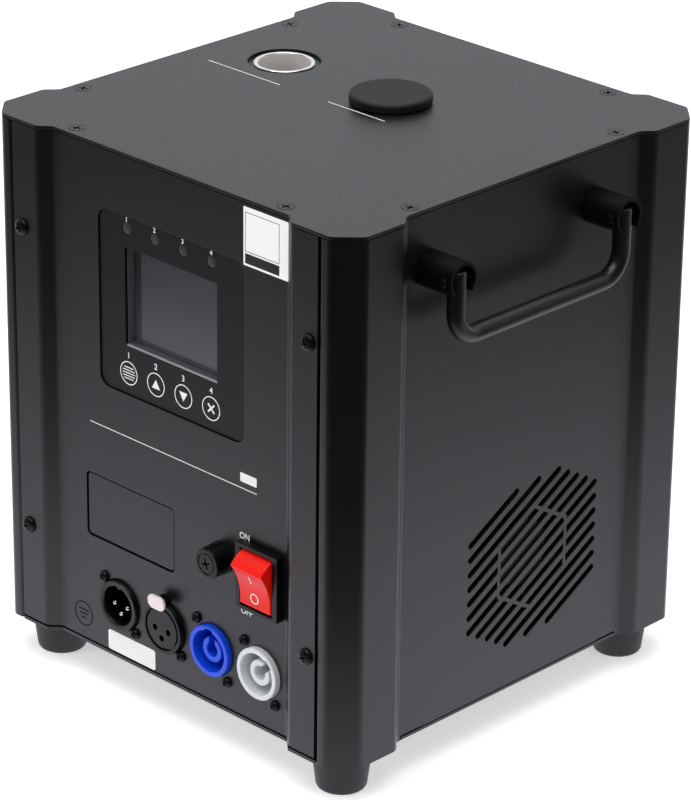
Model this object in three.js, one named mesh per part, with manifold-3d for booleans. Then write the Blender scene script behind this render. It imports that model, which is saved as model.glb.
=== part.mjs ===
// Cold spark machine: a square sheet-steel housing on four rubber feet, with a nozzle and a filler
// in its top, a display and four keys in its front, and fold-down handles and grilles on its sides.
import * as THREE from "three";
import { mergeVertices } from "three/addons/utils/BufferGeometryUtils.js";
import Module from "manifold-3d";

const wasm = await Module();
wasm.setup();

// Sizes in millimetres. Heights start at the underside of the base plate, widths and depths at the
// middle of the housing. The front faces -y, and the nozzle is on the left, towards -x.

// Housing
const bodyWidth = 220;
const bodyDepth = 220;
const housingHeight = 241.8;
const sheet = 1.5;
const fit = 0.3;
const seat = 0.1;
const overrun = 2;
const pillarShare = 0.29727;
const standOut = 4.9;
const stepShare = 0.05;
const cornerChamfer = 10.4;
const bendRadius = 1.6;
const seamInset = 16.1;
const seamGap = 0.9;
const returnLap = 12.9;
const panelLift = 0.9;
const flangeWidth = 14;
const flangeEndGap = 5;
const reliefLength = 12.6;
const reliefHeight = 0.8;
const reliefFromStep = 2;
const plateScrewFromStep = 8.3;
const plateScrewInset = 6.1;
const plateScrewRadius = 1.6;
const plateSinkRadius = 4;
const seamScrewInset = 5.2;
const seamScrewFromEnd = 49.2;
const seamScrewRadius = 1.6;

// Feet
const footHeight = 19;
const footTopRadius = 13.5;
const footBottomRadius = 11;
const footInset = 20;
const footEdge = 1.5;
const footBoreRadius = 4.5;
const footBoreDepth = 11;
const footScrewRadius = 2.2;

// Grille of slanted slots, broken by a hexagon
const grilleY = 11.8;
const grilleZ = 59.8;
const grilleReach = 39.8;
const grilleHalfHeight = 37.6;
const slotPitch = 6.05;
const slotWidth = 3;
const hexagonReach = 21.3;
const hexagonLine = 1.8;
const slotAngle = Math.PI / 6;

// Handles
const postRadius = 8;
const postBoreRadius = 6.4;
const postLength = 20;
const postFrontFromStep = 13.4;
const postRearFromStep = 28;
const postDrop = 26;
const postSlotWidth = 10.4;
const postSlotDepth = 8.8;
const pivotFromEnd = 4;
const pinRadius = 1.5;
const pinHeadRadius = 2.4;
const pinDomeRadius = 1.5;
const pinHeadHeight = 1;
const bailRadius = 4;
const bailDrop = 27.4;
const bailBend = 12;
const bailEnd = 3.8;
const tongueThickness = 5;
const tongueDrop = 6;

// Control panel
const controlX = 0.7;
const controlHeightShare = 0.71216;
const controlWidth = 89.4;
const controlHeight = 82.5;
const controlCorner = 5.5;
const overlayLap = 4;
const overlayThickness = 4.5;
const windowX = -0.8;
const windowRise = 3.6;
const windowWidth = 56.6;
const windowHeight = 45.3;
const windowLap = 2.5;
const windowThickness = 1.2;
const displayLap = 5.5;
const displayThickness = 4.5;
const boardThickness = 1.6;
const lightFirstX = -27.7;
const lightPitch = 17.27;
const lightRise = 35.1;
const lightRadius = 2.4;
const lightBarThickness = 2;
const lightBarHeight = 6;
const keyFirstX = -27.4;
const keyPitch = 17.07;
const keyDrop = 31.7;
const keyRadius = 4.9;
const keyGap = 0.25;
const keyFlange = 1;
const keyFlangeThickness = 0.8;
const keyStemRadius = 2;
const keyTravel = 0.4;
const buttonHeight = 3;
const buttonRadius = 3;
const standoffRadius = 2.5;
const standoffInset = 5;

// Blank cover below the control panel
const coverX = -26.1;
const coverHeightShare = 0.29198;
const coverWidth = 56.3;
const coverHeight = 31;
const coverCorner = 2.5;
const coverLap = 4;

// Sockets in a row of four round panel holes
const lastSocketFromStep = 16.6;
const socketPitch = 29.5;
const socketHeightShare = 0.11208;
const socketRadius = 12;
const socketDepth = 22;
const socketWall = 2;
const socketFlangeWidth = 26;
const socketFlangeHeight = 31;
const socketFlangeThickness = 2;
const socketScrewRadius = 1.5;
const signalScrewX = 9.9;
const signalScrewZ = 10.8;
const powerScrewX = 9.5;
const powerScrewZ = 12.3;
const signalInProud = 2;
const signalInBore = 9;
const signalOutProud = 2.6;
const signalOutFace = 9.4;
const signalOutGroove = 1;
const grooveDepth = 1.2;
const contactRadius = 1.2;
const contactSpacing = 4.2;
const contactDrop = 4.2;
const contactLift = 1.2;
const contactLength = 11;
const insertThickness = 6;
const powerProud = 2.5;
const powerBore = 9.6;
const powerCoreRadius = 5.9;
const powerCoreBore = 3.2;
const powerCoreSink = 2.2;
const powerSlotWidth = 3.4;
const powerKeyWidth = 4.4;
const powerKeyDepth = 1.1;
const latchLift = 13.9;
const latchProud = 6;
const latchPadWidth = 10.6;
const latchPadHeight = 6.6;
const latchPadThickness = 1.4;
const latchStemWidth = 5;
const latchStemHeight = 2.2;
const latchStemLength = 16;

// Fuse holder
const fuseFromSwitch = 25.6;
const fuseRise = 2.7;
const fuseProud = 8.5;
const fuseFrontRadius = 6.9;
const fuseRootRadius = 7.2;
const fuseBodyRadius = 6.2;
const fuseBodyDepth = 34;
const fuseCarrierRadius = 4;
const fuseCarrierLength = 18;
const fuseFlangeRadius = 7.4;
const fuseFlangeThickness = 1.2;
const fuseNutRadius = 9;
const fuseLinkRadius = 2.5;
const fuseLinkLength = 20;
const fuseRingRadius = 5;
const fuseRingWidth = 0.6;
const fuseRingDepth = 0.6;
const fuseSlotLength = 5;
const fuseSlotWidth = 0.9;
const fuseSlotDepth = 1.2;

// Mains switch
const switchFromStep = 15.3;
const switchRise = 1.4;
const bezelWidth = 25.5;
const bezelHeight = 31;
const bezelProud = 3.9;
const bezelCorner = 1.2;
const switchBodyWidth = 22.6;
const switchBodyHeight = 28.6;
const switchBodyDepth = 20;
const rockerWidth = 18.4;
const rockerGap = 0.4;
const rockerSink = 0.9;
const rockerEndRadius = 13.2;
const rockerHalfLength = 10.1;
const rockerSag = 1.9;
const rockerBack = 4;
const rockerTilt = THREE.MathUtils.degToRad(16.5);
const trunnionRadius = 1.5;
const trunnionLength = 0.8;
const terminalWidth = 6.3;
const terminalThickness = 0.8;
const terminalLength = 9;
const terminalPitch = 9;

// Nozzle, heated barrel and its shield
const nozzleFromWall = 41.1;
const nozzleFromRear = 79.6;
const nozzleHoleRadius = 16.5;
const barrelRadius = 13.4;
const barrelBore = 11;
const nozzleDrop = 0.4;
const nozzleLength = 41.4;
const nozzleSleeve = 8;
const nozzleSleeveWall = 2;
const heaterLow = 122;
const heaterFromJoint = 14;
const heaterWall = 3;
const heaterGap = 2;
const heaterLug = 2.5;
const shieldRadius = 22;
const shieldFlange = 3;
const shieldLow = 118;
const barrelFlange = 3;

// Blower under the barrel
const blowerRadius = 36;
const blowerWidth = 26;
const blowerWall = 2;
const blowerZ = 44;
const blowerInlet = 17;
const blowerOutletWidth = 28;
const blowerOutletTop = 88;
const blowerFootWidth = 40;
const impellerRadius = 29;
const impellerInner = 20;
const impellerHub = 6;
const impellerGap = 2.5;
const impellerPlate = 2;
const impellerBladeThickness = 1.2;
const impellerBlades = 8;
const impellerLean = Math.PI / 9;
const blowerMotorRadius = 18;
const blowerMotorLength = 19;
const blowerShaftRadius = 2;

// Filler, hopper and feed screw
const fillerFromNozzleX = 70;
const fillerFromNozzleY = 4;
const neckRadius = 15.4;
const neckBore = 13.6;
const capRadius = 18.4;
const capHeight = 4.4;
const capEdge = 1.3;
const plugLength = 8;
const hopperLeftOfFiller = 32;
const hopperRightOfFiller = 28;
const hopperFrontOfFiller = 27.5;
const hopperRearOfFiller = 28.5;
const hopperDrop = 9.8;
const funnelShare = 0.332;
const hopperWall = 1.5;
const collarMargin = 4;
const spoutHalfLength = 9;
const spoutHalfWidth = 6.5;
const feedZ = 104;
const feedTubeRadius = 8;
const feedTubeBore = 6.3;
const screwRadius = 5.8;
const screwCoreRadius = 2.6;
const screwPitch = 15;
const screwSteps = 5;
const gearModule = 1.8;
const gearTeeth = 20;
const pinionTeeth = 10;
const gearAddendum = 1.4;
const gearDedendum = 2.2;
const gearWidth = 8;
const gearGap = 2;
const gearBore = 2.6;
const bracketX = 46.3;
const bracketThickness = 2;
const bracketMargin = 4;
const bracketFoot = 14;
const motorRadius = 16.5;
const motorCanRadius = 14;
const motorLength = 32;
const motorGearboxLength = 11;
const motorShaftRadius = 2.6;

// Cooling fan behind the right grille
const fanSize = 80;
const fanDepth = 25;
const fanBoreRadius = 38;
const fanCorner = 4;
const fanHubRadius = 16;
const fanBladeRadius = 36.5;
const fanBladeChord = 21;
const fanBladeThickness = 1.6;
const fanBladeTurn = Math.PI / 4.5;
const fanBlades = 7;
const fanStrutWidth = 4;
const fanStrutDepth = 3;
const fanHubDepth = 17;
const fanSpindleRadius = 1.5;

// Electronics
const supplyFromWall = 17.1;
const supplyRight = 38;
const supplyFromRear = 15.6;
const supplyDepth = 29.5;
const supplyHeight = 48;
const supplyWall = 2;
const supplySlotWidth = 3;
const supplySlotPitch = 16;
const supplySlotMargin = 8;
const mainBoardLeft = -50;
const mainBoardRight = 62;
const mainBoardLow = 92;
const mainBoardDrop = 51.8;
const mainBoardGap = 6;
const capacitorRadius = 9;
const capacitorLength = 22;
const capacitorPitch = 22;
const heatsinkThickness = 3;
const heatsinkPitch = 9;
const heatsinkHeight = 18;

// Sides of round pieces, and steps of a bend
const wideSides = 24;
const roundSides = 18;
const innerSides = 12;
const smallSides = 10;
const screwSides = 8;
const tinySides = 6;
const bendSteps = 1;
const bendReachShare = 0.45;

// Places worked out from the sizes
const halfWidth = bodyWidth / 2;
const halfDepth = bodyDepth / 2;
const wallFace = halfWidth - standOut;
const panelFace = halfDepth - standOut;
const panelTop = housingHeight - sheet - fit;
const flangeLow = sheet + fit;
const recessHalf = (half) => half * (1 - pillarShare - stepShare);
const recessX = recessHalf(halfWidth);
const recessY = recessHalf(halfDepth);
const postFrontY = postFrontFromStep - recessY;
const postRearY = recessY - postRearFromStep;
const postZ = housingHeight - postDrop;
const controlZ = controlHeightShare * housingHeight;
const windowZ = controlZ + windowRise;
const lightZ = controlZ + lightRise;
const keyZ = controlZ - keyDrop;
const coverZ = coverHeightShare * housingHeight;
const switchX = recessX - switchFromStep;
const switchZ = coverZ + switchRise;
const fuseX = switchX - fuseFromSwitch;
const fuseZ = coverZ + fuseRise;
const socketZ = socketHeightShare * housingHeight;
const socketX = (index) => recessX - lastSocketFromStep - (3 - index) * socketPitch;
const nozzleX = nozzleFromWall - wallFace;
const nozzleY = panelFace - nozzleFromRear;
const nozzleJointZ = housingHeight - nozzleDrop - nozzleLength;
const fillerX = nozzleX + fillerFromNozzleX;
const fillerY = nozzleY - fillerFromNozzleY;
const hopperTop = housingHeight - hopperDrop;
const seamX = halfWidth - seamInset;
const seamScrewHeights = [seamScrewFromEnd, housingHeight - seamScrewFromEnd];
const overlayFront = -(panelFace - sheet - fit);
const overlayBack = overlayFront + overlayThickness;
const boardFront = overlayBack + fit + windowThickness + fit + displayThickness + fit;
const pivotX = wallFace + postLength - pivotFromEnd;
const gearCentres = (gearModule * (gearTeeth + pinionTeeth)) / 2;
const gearLow = bracketX + bracketThickness + gearGap;
const ridgeTurn = Math.asin(rockerHalfLength / rockerEndRadius) - rockerTilt;
const frontReach = panelFace - rockerSink + rockerEndRadius * Math.cos(ridgeTurn);

// The housing stands one foot height up, and moves back so that the middle between the switch's
// foremost edge and the rear pillars lies over the origin.
const machine = new THREE.Group();
const housing = new THREE.Group();
housing.position.set(0, (frontReach - halfDepth) / 2, footHeight);
machine.add(housing);

const point = (x, y) => new THREE.Vector2(x, y);

// A closed three.js geometry as a solid for cutting and joining.
function solid(geometry) {
  const bare = new THREE.BufferGeometry();
  bare.setAttribute("position", geometry.getAttribute("position"));
  if (geometry.index) bare.setIndex(geometry.index);
  const merged = mergeVertices(bare, 1e-4);
  const triVerts = new Uint32Array(merged.index.array);
  const vertProperties = merged.attributes.position.array;
  return new wasm.Manifold(new wasm.Mesh({ numProp: 3, vertProperties, triVerts }));
}

// A solid back as geometry for a mesh.
function geometryOf(shape) {
  const { vertProperties, triVerts } = shape.getMesh();
  const geometry = new THREE.BufferGeometry();
  geometry.setAttribute("position", new THREE.BufferAttribute(new Float32Array(vertProperties), 3));
  geometry.setIndex(new THREE.BufferAttribute(new Uint32Array(triVerts), 1));
  geometry.computeVertexNormals();
  return geometry;
}

const join = (shapes) => shapes.reduce((whole, shape) => whole.add(shape));
const cut = (body, shapes) => shapes.reduce((whole, shape) => whole.subtract(shape), body);

// A box from three ranges.
function block([x0, x1], [y0, y1], [z0, z1]) {
  const geometry = new THREE.BoxGeometry(x1 - x0, y1 - y0, z1 - z0);
  geometry.translate((x0 + x1) / 2, (y0 + y1) / 2, (z0 + z1) / 2);
  return solid(geometry);
}

const around = (middle, size) => [middle - size / 2, middle + size / 2];

// A rod or cone along an axis, between two places on it, through a point of the two other axes.
function rod(axis, [a, b], [low, high], radius, sides = smallSides, endRadius = radius) {
  const geometry = new THREE.CylinderGeometry(endRadius, radius, high - low, sides);
  const middle = (low + high) / 2;
  if (axis === "x") geometry.rotateZ(-Math.PI / 2).translate(middle, a, b);
  if (axis === "y") geometry.translate(a, middle, b);
  if (axis === "z") geometry.rotateX(Math.PI / 2).translate(a, b, middle);
  return solid(geometry);
}

const alongX = new THREE.Vector3(1, 0, 0);
const alongY = new THREE.Vector3(0, 1, 0);
const alongZ = new THREE.Vector3(0, 0, 1);

// An outline pushed along an axis: drawn in (x, y) for z, in (x, z) for y and in (y, z) for x.
function prism(axis, points, [low, high]) {
  const options = { depth: high - low, bevelEnabled: false };
  const geometry = new THREE.ExtrudeGeometry(new THREE.Shape(points), options);
  const turn = new THREE.Matrix4();
  if (axis === "x") turn.makeBasis(alongY, alongZ, alongX).setPosition(low, 0, 0);
  if (axis === "y") turn.makeBasis(alongX, alongZ, alongY.clone().negate()).setPosition(0, high, 0);
  if (axis === "z") turn.setPosition(0, 0, low);
  return solid(geometry.applyMatrix4(turn));
}

// A turned solid about the z axis, from a closed profile of (radius, height).
function turned([x, y], profile, sides = roundSides) {
  const geometry = new THREE.LatheGeometry([...profile, profile[0]], sides);
  return solid(geometry.rotateX(Math.PI / 2).translate(x, y, 0));
}

function leftNormal(from, to) {
  const along = to.clone().sub(from).normalize();
  return point(-along.y, along.x);
}

// A path moved sideways, to its left when the distance is positive.
function offsetPath(points, distance, closed = false) {
  const count = points.length;
  return points.map((corner, i) => {
    const before = closed || i > 0 ? points[(i + count - 1) % count] : null;
    const after = closed || i < count - 1 ? points[(i + 1) % count] : null;
    const first = before ? leftNormal(before, corner) : leftNormal(corner, after);
    const second = after ? leftNormal(corner, after) : first;
    const miter = first.clone().add(second).divideScalar(1 + first.dot(second));
    return corner.clone().addScaledVector(miter, distance);
  });
}

// A path with each corner rounded, as far as its neighbours leave room.
function roundCorners(points, radius, closed = false, steps = bendSteps) {
  const count = points.length;
  return points.flatMap((corner, i) => {
    if (!closed && (i === 0 || i === count - 1)) return [corner];
    const back = points[(i + count - 1) % count].clone().sub(corner);
    const on = points[(i + 1) % count].clone().sub(corner);
    const turn = Math.PI - Math.abs(back.angleTo(on));
    const room = bendReachShare * Math.min(back.length(), on.length());
    const reach = Math.min(radius * Math.tan(turn / 2), room);
    const start = corner.clone().addScaledVector(back.normalize(), reach);
    const end = corner.clone().addScaledVector(on.normalize(), reach);
    return new THREE.QuadraticBezierCurve(start, corner, end).getPoints(steps);
  });
}

// A rectangle with rounded corners about a middle point.
function roundedRectangle([x, y], width, height, radius, steps = bendSteps) {
  const [x0, x1] = around(x, width);
  const [y0, y1] = around(y, height);
  const corners = [point(x0, y0), point(x1, y0), point(x1, y1), point(x0, y1)];
  return roundCorners(corners, radius, true, steps);
}

// The outline of bent sheet whose outer face follows a path, with its inside on the left.
function bentSheet(path) {
  const middle = roundCorners(offsetPath(path, sheet / 2), bendRadius);
  const outer = offsetPath(middle, -sheet / 2);
  const inner = offsetPath(middle, sheet / 2);
  return [...outer, ...inner.reverse()];
}

// One side of the housing's plan, facing +x: chamfer, pillar, step, recessed wall and back.
function planSide(half, run) {
  const wall = half - standOut;
  const pillar = run * (1 - pillarShare);
  const recess = recessHalf(run);
  return [
    point(half, cornerChamfer - run),
    point(half, -pillar),
    point(wall, -recess),
    point(wall, recess),
    point(half, pillar),
    point(half, run - cornerChamfer),
  ];
}

function planOutline() {
  const quarter = Math.PI / 2;
  const origin = point(0, 0);
  return [0, 1, 2, 3].flatMap((k) => {
    const [half, run] = k % 2 ? [halfDepth, halfWidth] : [halfWidth, halfDepth];
    return planSide(half, run).map((corner) => corner.rotateAround(origin, k * quarter));
  });
}

const look = (color, roughness, metalness) =>
  new THREE.MeshStandardMaterial({ color, roughness, metalness, flatShading: true });
const powderCoat = () => look(0x2c2c2f, 0.6, 0.1);
const blackPlastic = () => look(0x141415, 0.5, 0);
const blackRubber = () => look(0x1b1b1c, 0.85, 0);
const bareSteel = () => look(0xc9cacc, 0.35, 0.9);
const zincSteel = () => look(0x9fa2a6, 0.45, 0.8);
const circuitBoard = () => look(0x1d5a36, 0.6, 0);

function piece(name, shape, material, parent = housing) {
  const mesh = new THREE.Mesh(geometryOf(shape), material);
  mesh.name = name;
  parent.add(mesh);
  return mesh;
}

// Base plate, which the side shells wrap round and whose front and rear edges show
function basePlate() {
  const seamEdge = seamX - seamGap;
  const full = prism("z", planOutline(), [0, sheet]);
  const strip = block([-seamEdge, seamEdge], [-bodyDepth, bodyDepth], [-overrun, sheet + overrun]);
  const inner = prism("z", offsetPath(planOutline(), sheet + fit, true), [0, sheet]);
  const screws = footPlaces().map((place) =>
    rod("z", place, [-overrun, sheet + overrun], footScrewRadius, tinySides),
  );
  return cut(full.intersect(strip).add(inner), screws);
}

function footPlaces() {
  const x = halfWidth - footInset;
  const y = halfDepth - footInset;
  return [
    [-x, -y],
    [x, -y],
    [-x, y],
    [x, y],
  ];
}

// A rubber foot: a cone with a softened lower edge, and a recess below for the head of its screw
function foot(place) {
  const floor = -footHeight;
  const taper = (footTopRadius - footBottomRadius) / footHeight;
  const profile = [
    point(0, -seat),
    point(0, floor + footBoreDepth),
    point(footBoreRadius, floor + footBoreDepth),
    point(footBoreRadius, floor),
    point(footBottomRadius - footEdge, floor),
    point(footBottomRadius + taper * footEdge, floor + footEdge),
    point(footTopRadius, -seat),
  ];
  return turned(place, profile);
}

// The rows of slots, each as long as the field is there, with the hexagon left standing
function grilleCutter() {
  const along = point(Math.cos(slotAngle), Math.sin(slotAngle));
  const across = point(-along.y, along.x);
  const steep = point(Math.cos(2 * slotAngle), Math.sin(2 * slotAngle));
  const limits = [
    [point(1, 0), grilleReach],
    [steep, grilleReach],
    [point(0, 1), grilleHalfHeight],
  ];
  const middle = point(grilleY, grilleZ);
  const rows = Math.floor(grilleReach / slotPitch);
  const slots = [];
  for (let row = -rows; row <= rows; row += 1) {
    const start = across.clone().multiplyScalar(row * slotPitch);
    let [low, high] = [-bodyDepth, bodyDepth];
    for (const [normal, reach] of limits) {
      const [rate, place] = [along.dot(normal), start.dot(normal)];
      low = Math.max(low, (-reach - place) / rate);
      high = Math.min(high, (reach - place) / rate);
    }
    const from = middle.clone().add(start).addScaledVector(along, low);
    const to = middle.clone().add(start).addScaledVector(along, high);
    slots.push(slot(from, to, slotWidth / 2));
  }
  const ring = hexagon(middle, hexagonReach + hexagonLine / 2);
  const hole = hexagon(middle, hexagonReach - hexagonLine / 2);
  return join(slots).subtract(ring.subtract(hole));
}

// A slot with round ends between two points of the side wall
function slot(from, to, radius) {
  const side = leftNormal(from, to).multiplyScalar(radius);
  const turns = 2;
  const arc = (centre, begin) =>
    Array.from({ length: turns + 1 }, (_, k) =>
      begin.clone().rotateAround(point(0, 0), (k * Math.PI) / turns).add(centre),
    );
  const outline = [...arc(to, side.clone().negate()), ...arc(from, side)];
  return prism("x", outline, [wallFace - sheet - overrun, wallFace + overrun]);
}

function hexagon(middle, reach) {
  const corners = [0, 1, 2, 3, 4, 5].map((k) =>
    point(0, reach / Math.cos(Math.PI / 6)).rotateAround(point(0, 0), (k * Math.PI) / 3).add(middle),
  );
  return prism("x", corners, [wallFace - sheet - 2 * overrun, wallFace + 2 * overrun]);
}

// A side shell, drawn on the right: walls and pillars in one bent sheet, with a lapped return
// behind the front and rear panels, and flanges for the top and base plates
function sideShell() {
  const joggle = sheet + fit;
  const half = [
    point(seamX - returnLap, joggle - halfDepth),
    point(seamX, joggle - halfDepth),
    point(seamX, -halfDepth),
    point(halfWidth - cornerChamfer, -halfDepth),
    ...planSide(halfWidth, halfDepth).slice(0, 3),
  ];
  const mirrored = half.map((corner) => point(corner.x, -corner.y)).reverse();
  const wall = prism("z", bentSheet([...half, ...mirrored]), [0, panelTop]);
  const inner = wallFace - sheet / 2;
  const flangeX = [inner - flangeWidth, inner];
  const topFlange = block(flangeX, around(0, 2 * (recessY - flangeEndGap)), [panelTop - sheet, panelTop]);
  const reliefY = recessY - reliefFromStep - reliefLength;
  const lowFlange = block(flangeX, [-reliefY, reliefY], [flangeLow, flangeLow + sheet]);
  const plateRoom = block(
    [0, seamX + sheet + fit],
    [sheet - halfDepth, halfDepth - sheet],
    [-overrun, flangeLow],
  );
  const wallRange = [wallFace - sheet - overrun, wallFace + overrun];
  const reliefs = [-1, 1].map((end) =>
    block(
      wallRange,
      around(end * (reliefY + reliefLength / 2), reliefLength),
      [flangeLow - fit, flangeLow - fit + reliefHeight],
    ),
  );
  const flangeCut = [panelTop - sheet - overrun, panelTop + overrun];
  const along = recessY - plateScrewFromStep;
  const plateScrews = [-along, along].map((y) =>
    rod("z", [wallFace - plateScrewInset, y], flangeCut, plateScrewRadius, tinySides),
  );
  const seamScrewX = seamX - seamGap - seamScrewInset;
  const seamScrews = seamScrewHeights.map((z) =>
    rod("y", [seamScrewX, z], [-bodyDepth, bodyDepth], seamScrewRadius, tinySides),
  );
  const body = join([wall, topFlange, lowFlange]);
  return cut(body, [plateRoom, ...reliefs, ...plateScrews, ...seamScrews, grilleCutter()]);
}

const postPlaces = () => [postFrontY, postRearY];

// A tubular post: solid at the wall, bored and slotted at its outer end for the bail
function handlePost(y) {
  const end = wallFace + postLength;
  const body = rod("x", [y, postZ], [wallFace + seat, end], postRadius, roundSides);
  const boreRange = [pivotX - postBoreRadius, end + overrun];
  const bore = rod("x", [y, postZ], boreRange, postBoreRadius, innerSides);
  const slotRange = [end - postSlotDepth, end + overrun];
  const opening = block(slotRange, around(y, postSlotWidth), [postZ - 2 * postRadius, postZ]);
  const pinHole = rod("y", [pivotX, postZ], around(y, 4 * postRadius), pinRadius + fit, tinySides);
  return cut(body, [bore, opening, pinHole]);
}

// A pivot pin with a domed head on the side towards the front
function handlePin(y) {
  const reach = postRadius + seat;
  const place = [pivotX, postZ];
  const shank = rod("y", place, [y - reach - pinHeadHeight / 2, y + reach], pinRadius, tinySides);
  const face = [y - reach - pinHeadHeight, y - reach];
  const head = rod("y", place, face, pinDomeRadius, smallSides, pinHeadRadius);
  return shank.add(head);
}

// A round bar along a flat path of (y, z) points at one place on x
function roundBar(x, route, radius, sides) {
  const middle = offsetPath(route, 0);
  const rim = offsetPath(route, 1);
  const places = middle.flatMap((centre, i) => {
    const side = rim[i].clone().sub(centre);
    return Array.from({ length: sides }, (_, k) => {
      const angle = (2 * Math.PI * k) / sides;
      const reach = radius * Math.sin(angle);
      return [x + radius * Math.cos(angle), centre.x + side.x * reach, centre.y + side.y * reach];
    }).flat();
  });
  const faces = [];
  const last = (route.length - 1) * sides;
  for (let k = 0; k < sides; k += 1) {
    const next = (k + 1) % sides;
    for (let ring = 0; ring < last; ring += sides) {
      faces.push(ring + k, ring + sides + next, ring + next);
      faces.push(ring + k, ring + sides + k, ring + sides + next);
    }
    if (k > 0 && k < sides - 1) faces.push(0, k, next, last, last + next, last + k);
  }
  const geometry = new THREE.BufferGeometry();
  geometry.setAttribute("position", new THREE.Float32BufferAttribute(places, 3));
  geometry.setIndex(faces);
  return solid(geometry);
}

// The bail: a round bar bent twice, with flat drilled tongues for the pins, hanging at rest
function handleBail() {
  const [y0, y1] = postPlaces();
  const top = postZ + bailEnd;
  const root = postZ - tongueDrop;
  const low = postZ - bailDrop;
  const corners = [point(y0, root), point(y0, low), point(y1, low), point(y1, root)];
  const route = roundCorners(corners, bailBend, false, 4);
  const bar = roundBar(pivotX, route, bailRadius, smallSides);
  const outline = [
    point(pivotX - bailRadius, root - fit),
    point(pivotX + bailRadius, root - fit),
    point(pivotX + bailRadius, postZ),
    point(pivotX + bailRadius / 2, top),
    point(pivotX - bailRadius / 2, top),
    point(pivotX - bailRadius, postZ),
  ];
  const tongues = postPlaces().map((y) => prism("y", outline, around(y, tongueThickness)));
  const holes = postPlaces().map((y) =>
    rod("y", [pivotX, postZ], around(y, 2 * tongueThickness), pinRadius + fit, tinySides),
  );
  return cut(join([bar, ...tongues]), holes);
}

// Both sides carry the same shell and handle, the left one turned half round
function side(name, turn) {
  const group = new THREE.Group();
  group.rotation.z = turn;
  housing.add(group);
  piece(`${name}_side_shell`, sideShell(), powderCoat(), group);
  const [front, rear] = postPlaces();
  const ends = turn ? ["rear", "front"] : ["front", "rear"];
  [front, rear].forEach((y, i) => {
    piece(`${name}_handle_post_${ends[i]}`, handlePost(y), powderCoat(), group);
    piece(`${name}_handle_pin_${ends[i]}`, handlePin(y), zincSteel(), group);
  });
  piece(`${name}_handle_bail`, handleBail(), powderCoat(), group);
}

// A front or rear panel, drawn at the front: recessed face, steps, side flanges and two lips
function panel() {
  const edge = seamX - seamGap;
  const pillar = halfWidth * (1 - pillarShare);
  const path = [
    point(-edge, -halfDepth),
    point(-pillar, -halfDepth),
    point(-recessX, -panelFace),
    point(recessX, -panelFace),
    point(pillar, -halfDepth),
    point(edge, -halfDepth),
  ];
  const wall = prism("z", bentSheet(path), [sheet + panelLift, panelTop]);
  const inner = sheet / 2 - panelFace;
  const lipY = [inner, inner + flangeWidth];
  const lipX = around(0, 2 * (recessX - flangeEndGap));
  const topLip = block(lipX, lipY, [panelTop - sheet, panelTop]);
  const lowLip = block(lipX, lipY, [flangeLow, flangeLow + sheet]);
  const flangeCut = [panelTop - sheet - overrun, panelTop + overrun];
  const along = recessX - plateScrewFromStep;
  const plateScrews = [-along, along].map((x) =>
    rod("z", [x, plateScrewInset - panelFace], flangeCut, plateScrewRadius, tinySides),
  );
  const seamScrews = [-1, 1].flatMap((end) =>
    seamScrewHeights.map((z) =>
      rod("y", [end * (edge - seamScrewInset), z], [-bodyDepth, 0], seamScrewRadius + fit, tinySides),
    ),
  );
  return cut(join([wall, topLip, lowLip]), [...plateScrews, ...seamScrews]);
}

const panelRange = [-panelFace - overrun, overrun + sheet - panelFace];

// The screws of a socket stand on one diagonal, and the push tab takes the place of one of them
function socketScrews(index) {
  const [dx, dz] = index < 2 ? [signalScrewX, signalScrewZ] : [powerScrewX, powerScrewZ];
  const low = [socketX(index) + dx, socketZ - dz];
  const high = [socketX(index) - dx, socketZ + dz];
  return index === 1 ? [low] : [high, low];
}

// The front panel's openings for the controls, the blank cover, the fuse, the switch and the sockets
function frontPanel() {
  const control = roundedRectangle([controlX, controlZ], controlWidth, controlHeight, controlCorner, 4);
  const cover = roundedRectangle([coverX, coverZ], coverWidth, coverHeight, coverCorner);
  const switchHole = block(
    around(switchX, switchBodyWidth + 2 * fit),
    panelRange,
    around(switchZ, switchBodyHeight + 2 * fit),
  );
  const fuseHole = rod("y", [fuseX, fuseZ], panelRange, fuseBodyRadius + fit, innerSides);
  const sockets = [0, 1, 2, 3].flatMap((index) => [
    rod("y", [socketX(index), socketZ], panelRange, socketRadius + fit, roundSides),
    ...socketScrews(index).map((place) => rod("y", place, panelRange, socketScrewRadius, tinySides)),
  ]);
  const latchHole = block(
    around(socketX(1), latchStemWidth + 2 * fit),
    panelRange,
    around(socketZ + latchLift, latchStemHeight + 2 * fit),
  );
  const openings = [prism("y", control, panelRange), prism("y", cover, panelRange)];
  return cut(panel(), [...openings, switchHole, fuseHole, ...sockets, latchHole]);
}

const lightX = (index) => lightFirstX + index * lightPitch;
const keyX = (index) => keyFirstX + index * keyPitch;
const four = [0, 1, 2, 3];

// The overlay plate behind the panel's opening, with its window, light holes and key holes
function controlOverlay() {
  const width = controlWidth + 2 * overlayLap;
  const height = controlHeight + 2 * overlayLap;
  const plate = prism(
    "y",
    roundedRectangle([controlX, controlZ], width, height, overlayLap),
    [overlayFront, overlayBack],
  );
  const through = [overlayFront - overrun, overlayBack + overrun];
  const window = block(around(windowX, windowWidth), through, around(windowZ, windowHeight));
  const lights = four.map((i) =>
    rod("y", [lightX(i), lightZ], through, lightRadius + fit, screwSides),
  );
  const keys = four.map((i) => rod("y", [keyX(i), keyZ], through, keyRadius + keyGap, innerSides));
  return cut(plate, [window, ...lights, ...keys]);
}

function displayWindow() {
  const low = overlayBack + fit;
  const width = windowWidth + 2 * windowLap;
  const height = windowHeight + 2 * windowLap;
  return block(around(windowX, width), [low, low + windowThickness], around(windowZ, height));
}

function displayModule() {
  const low = overlayBack + fit + windowThickness + fit;
  const width = windowWidth + 2 * displayLap;
  const height = windowHeight + 2 * displayLap;
  return block(around(windowX, width), [low, low + displayThickness], around(windowZ, height));
}

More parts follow.
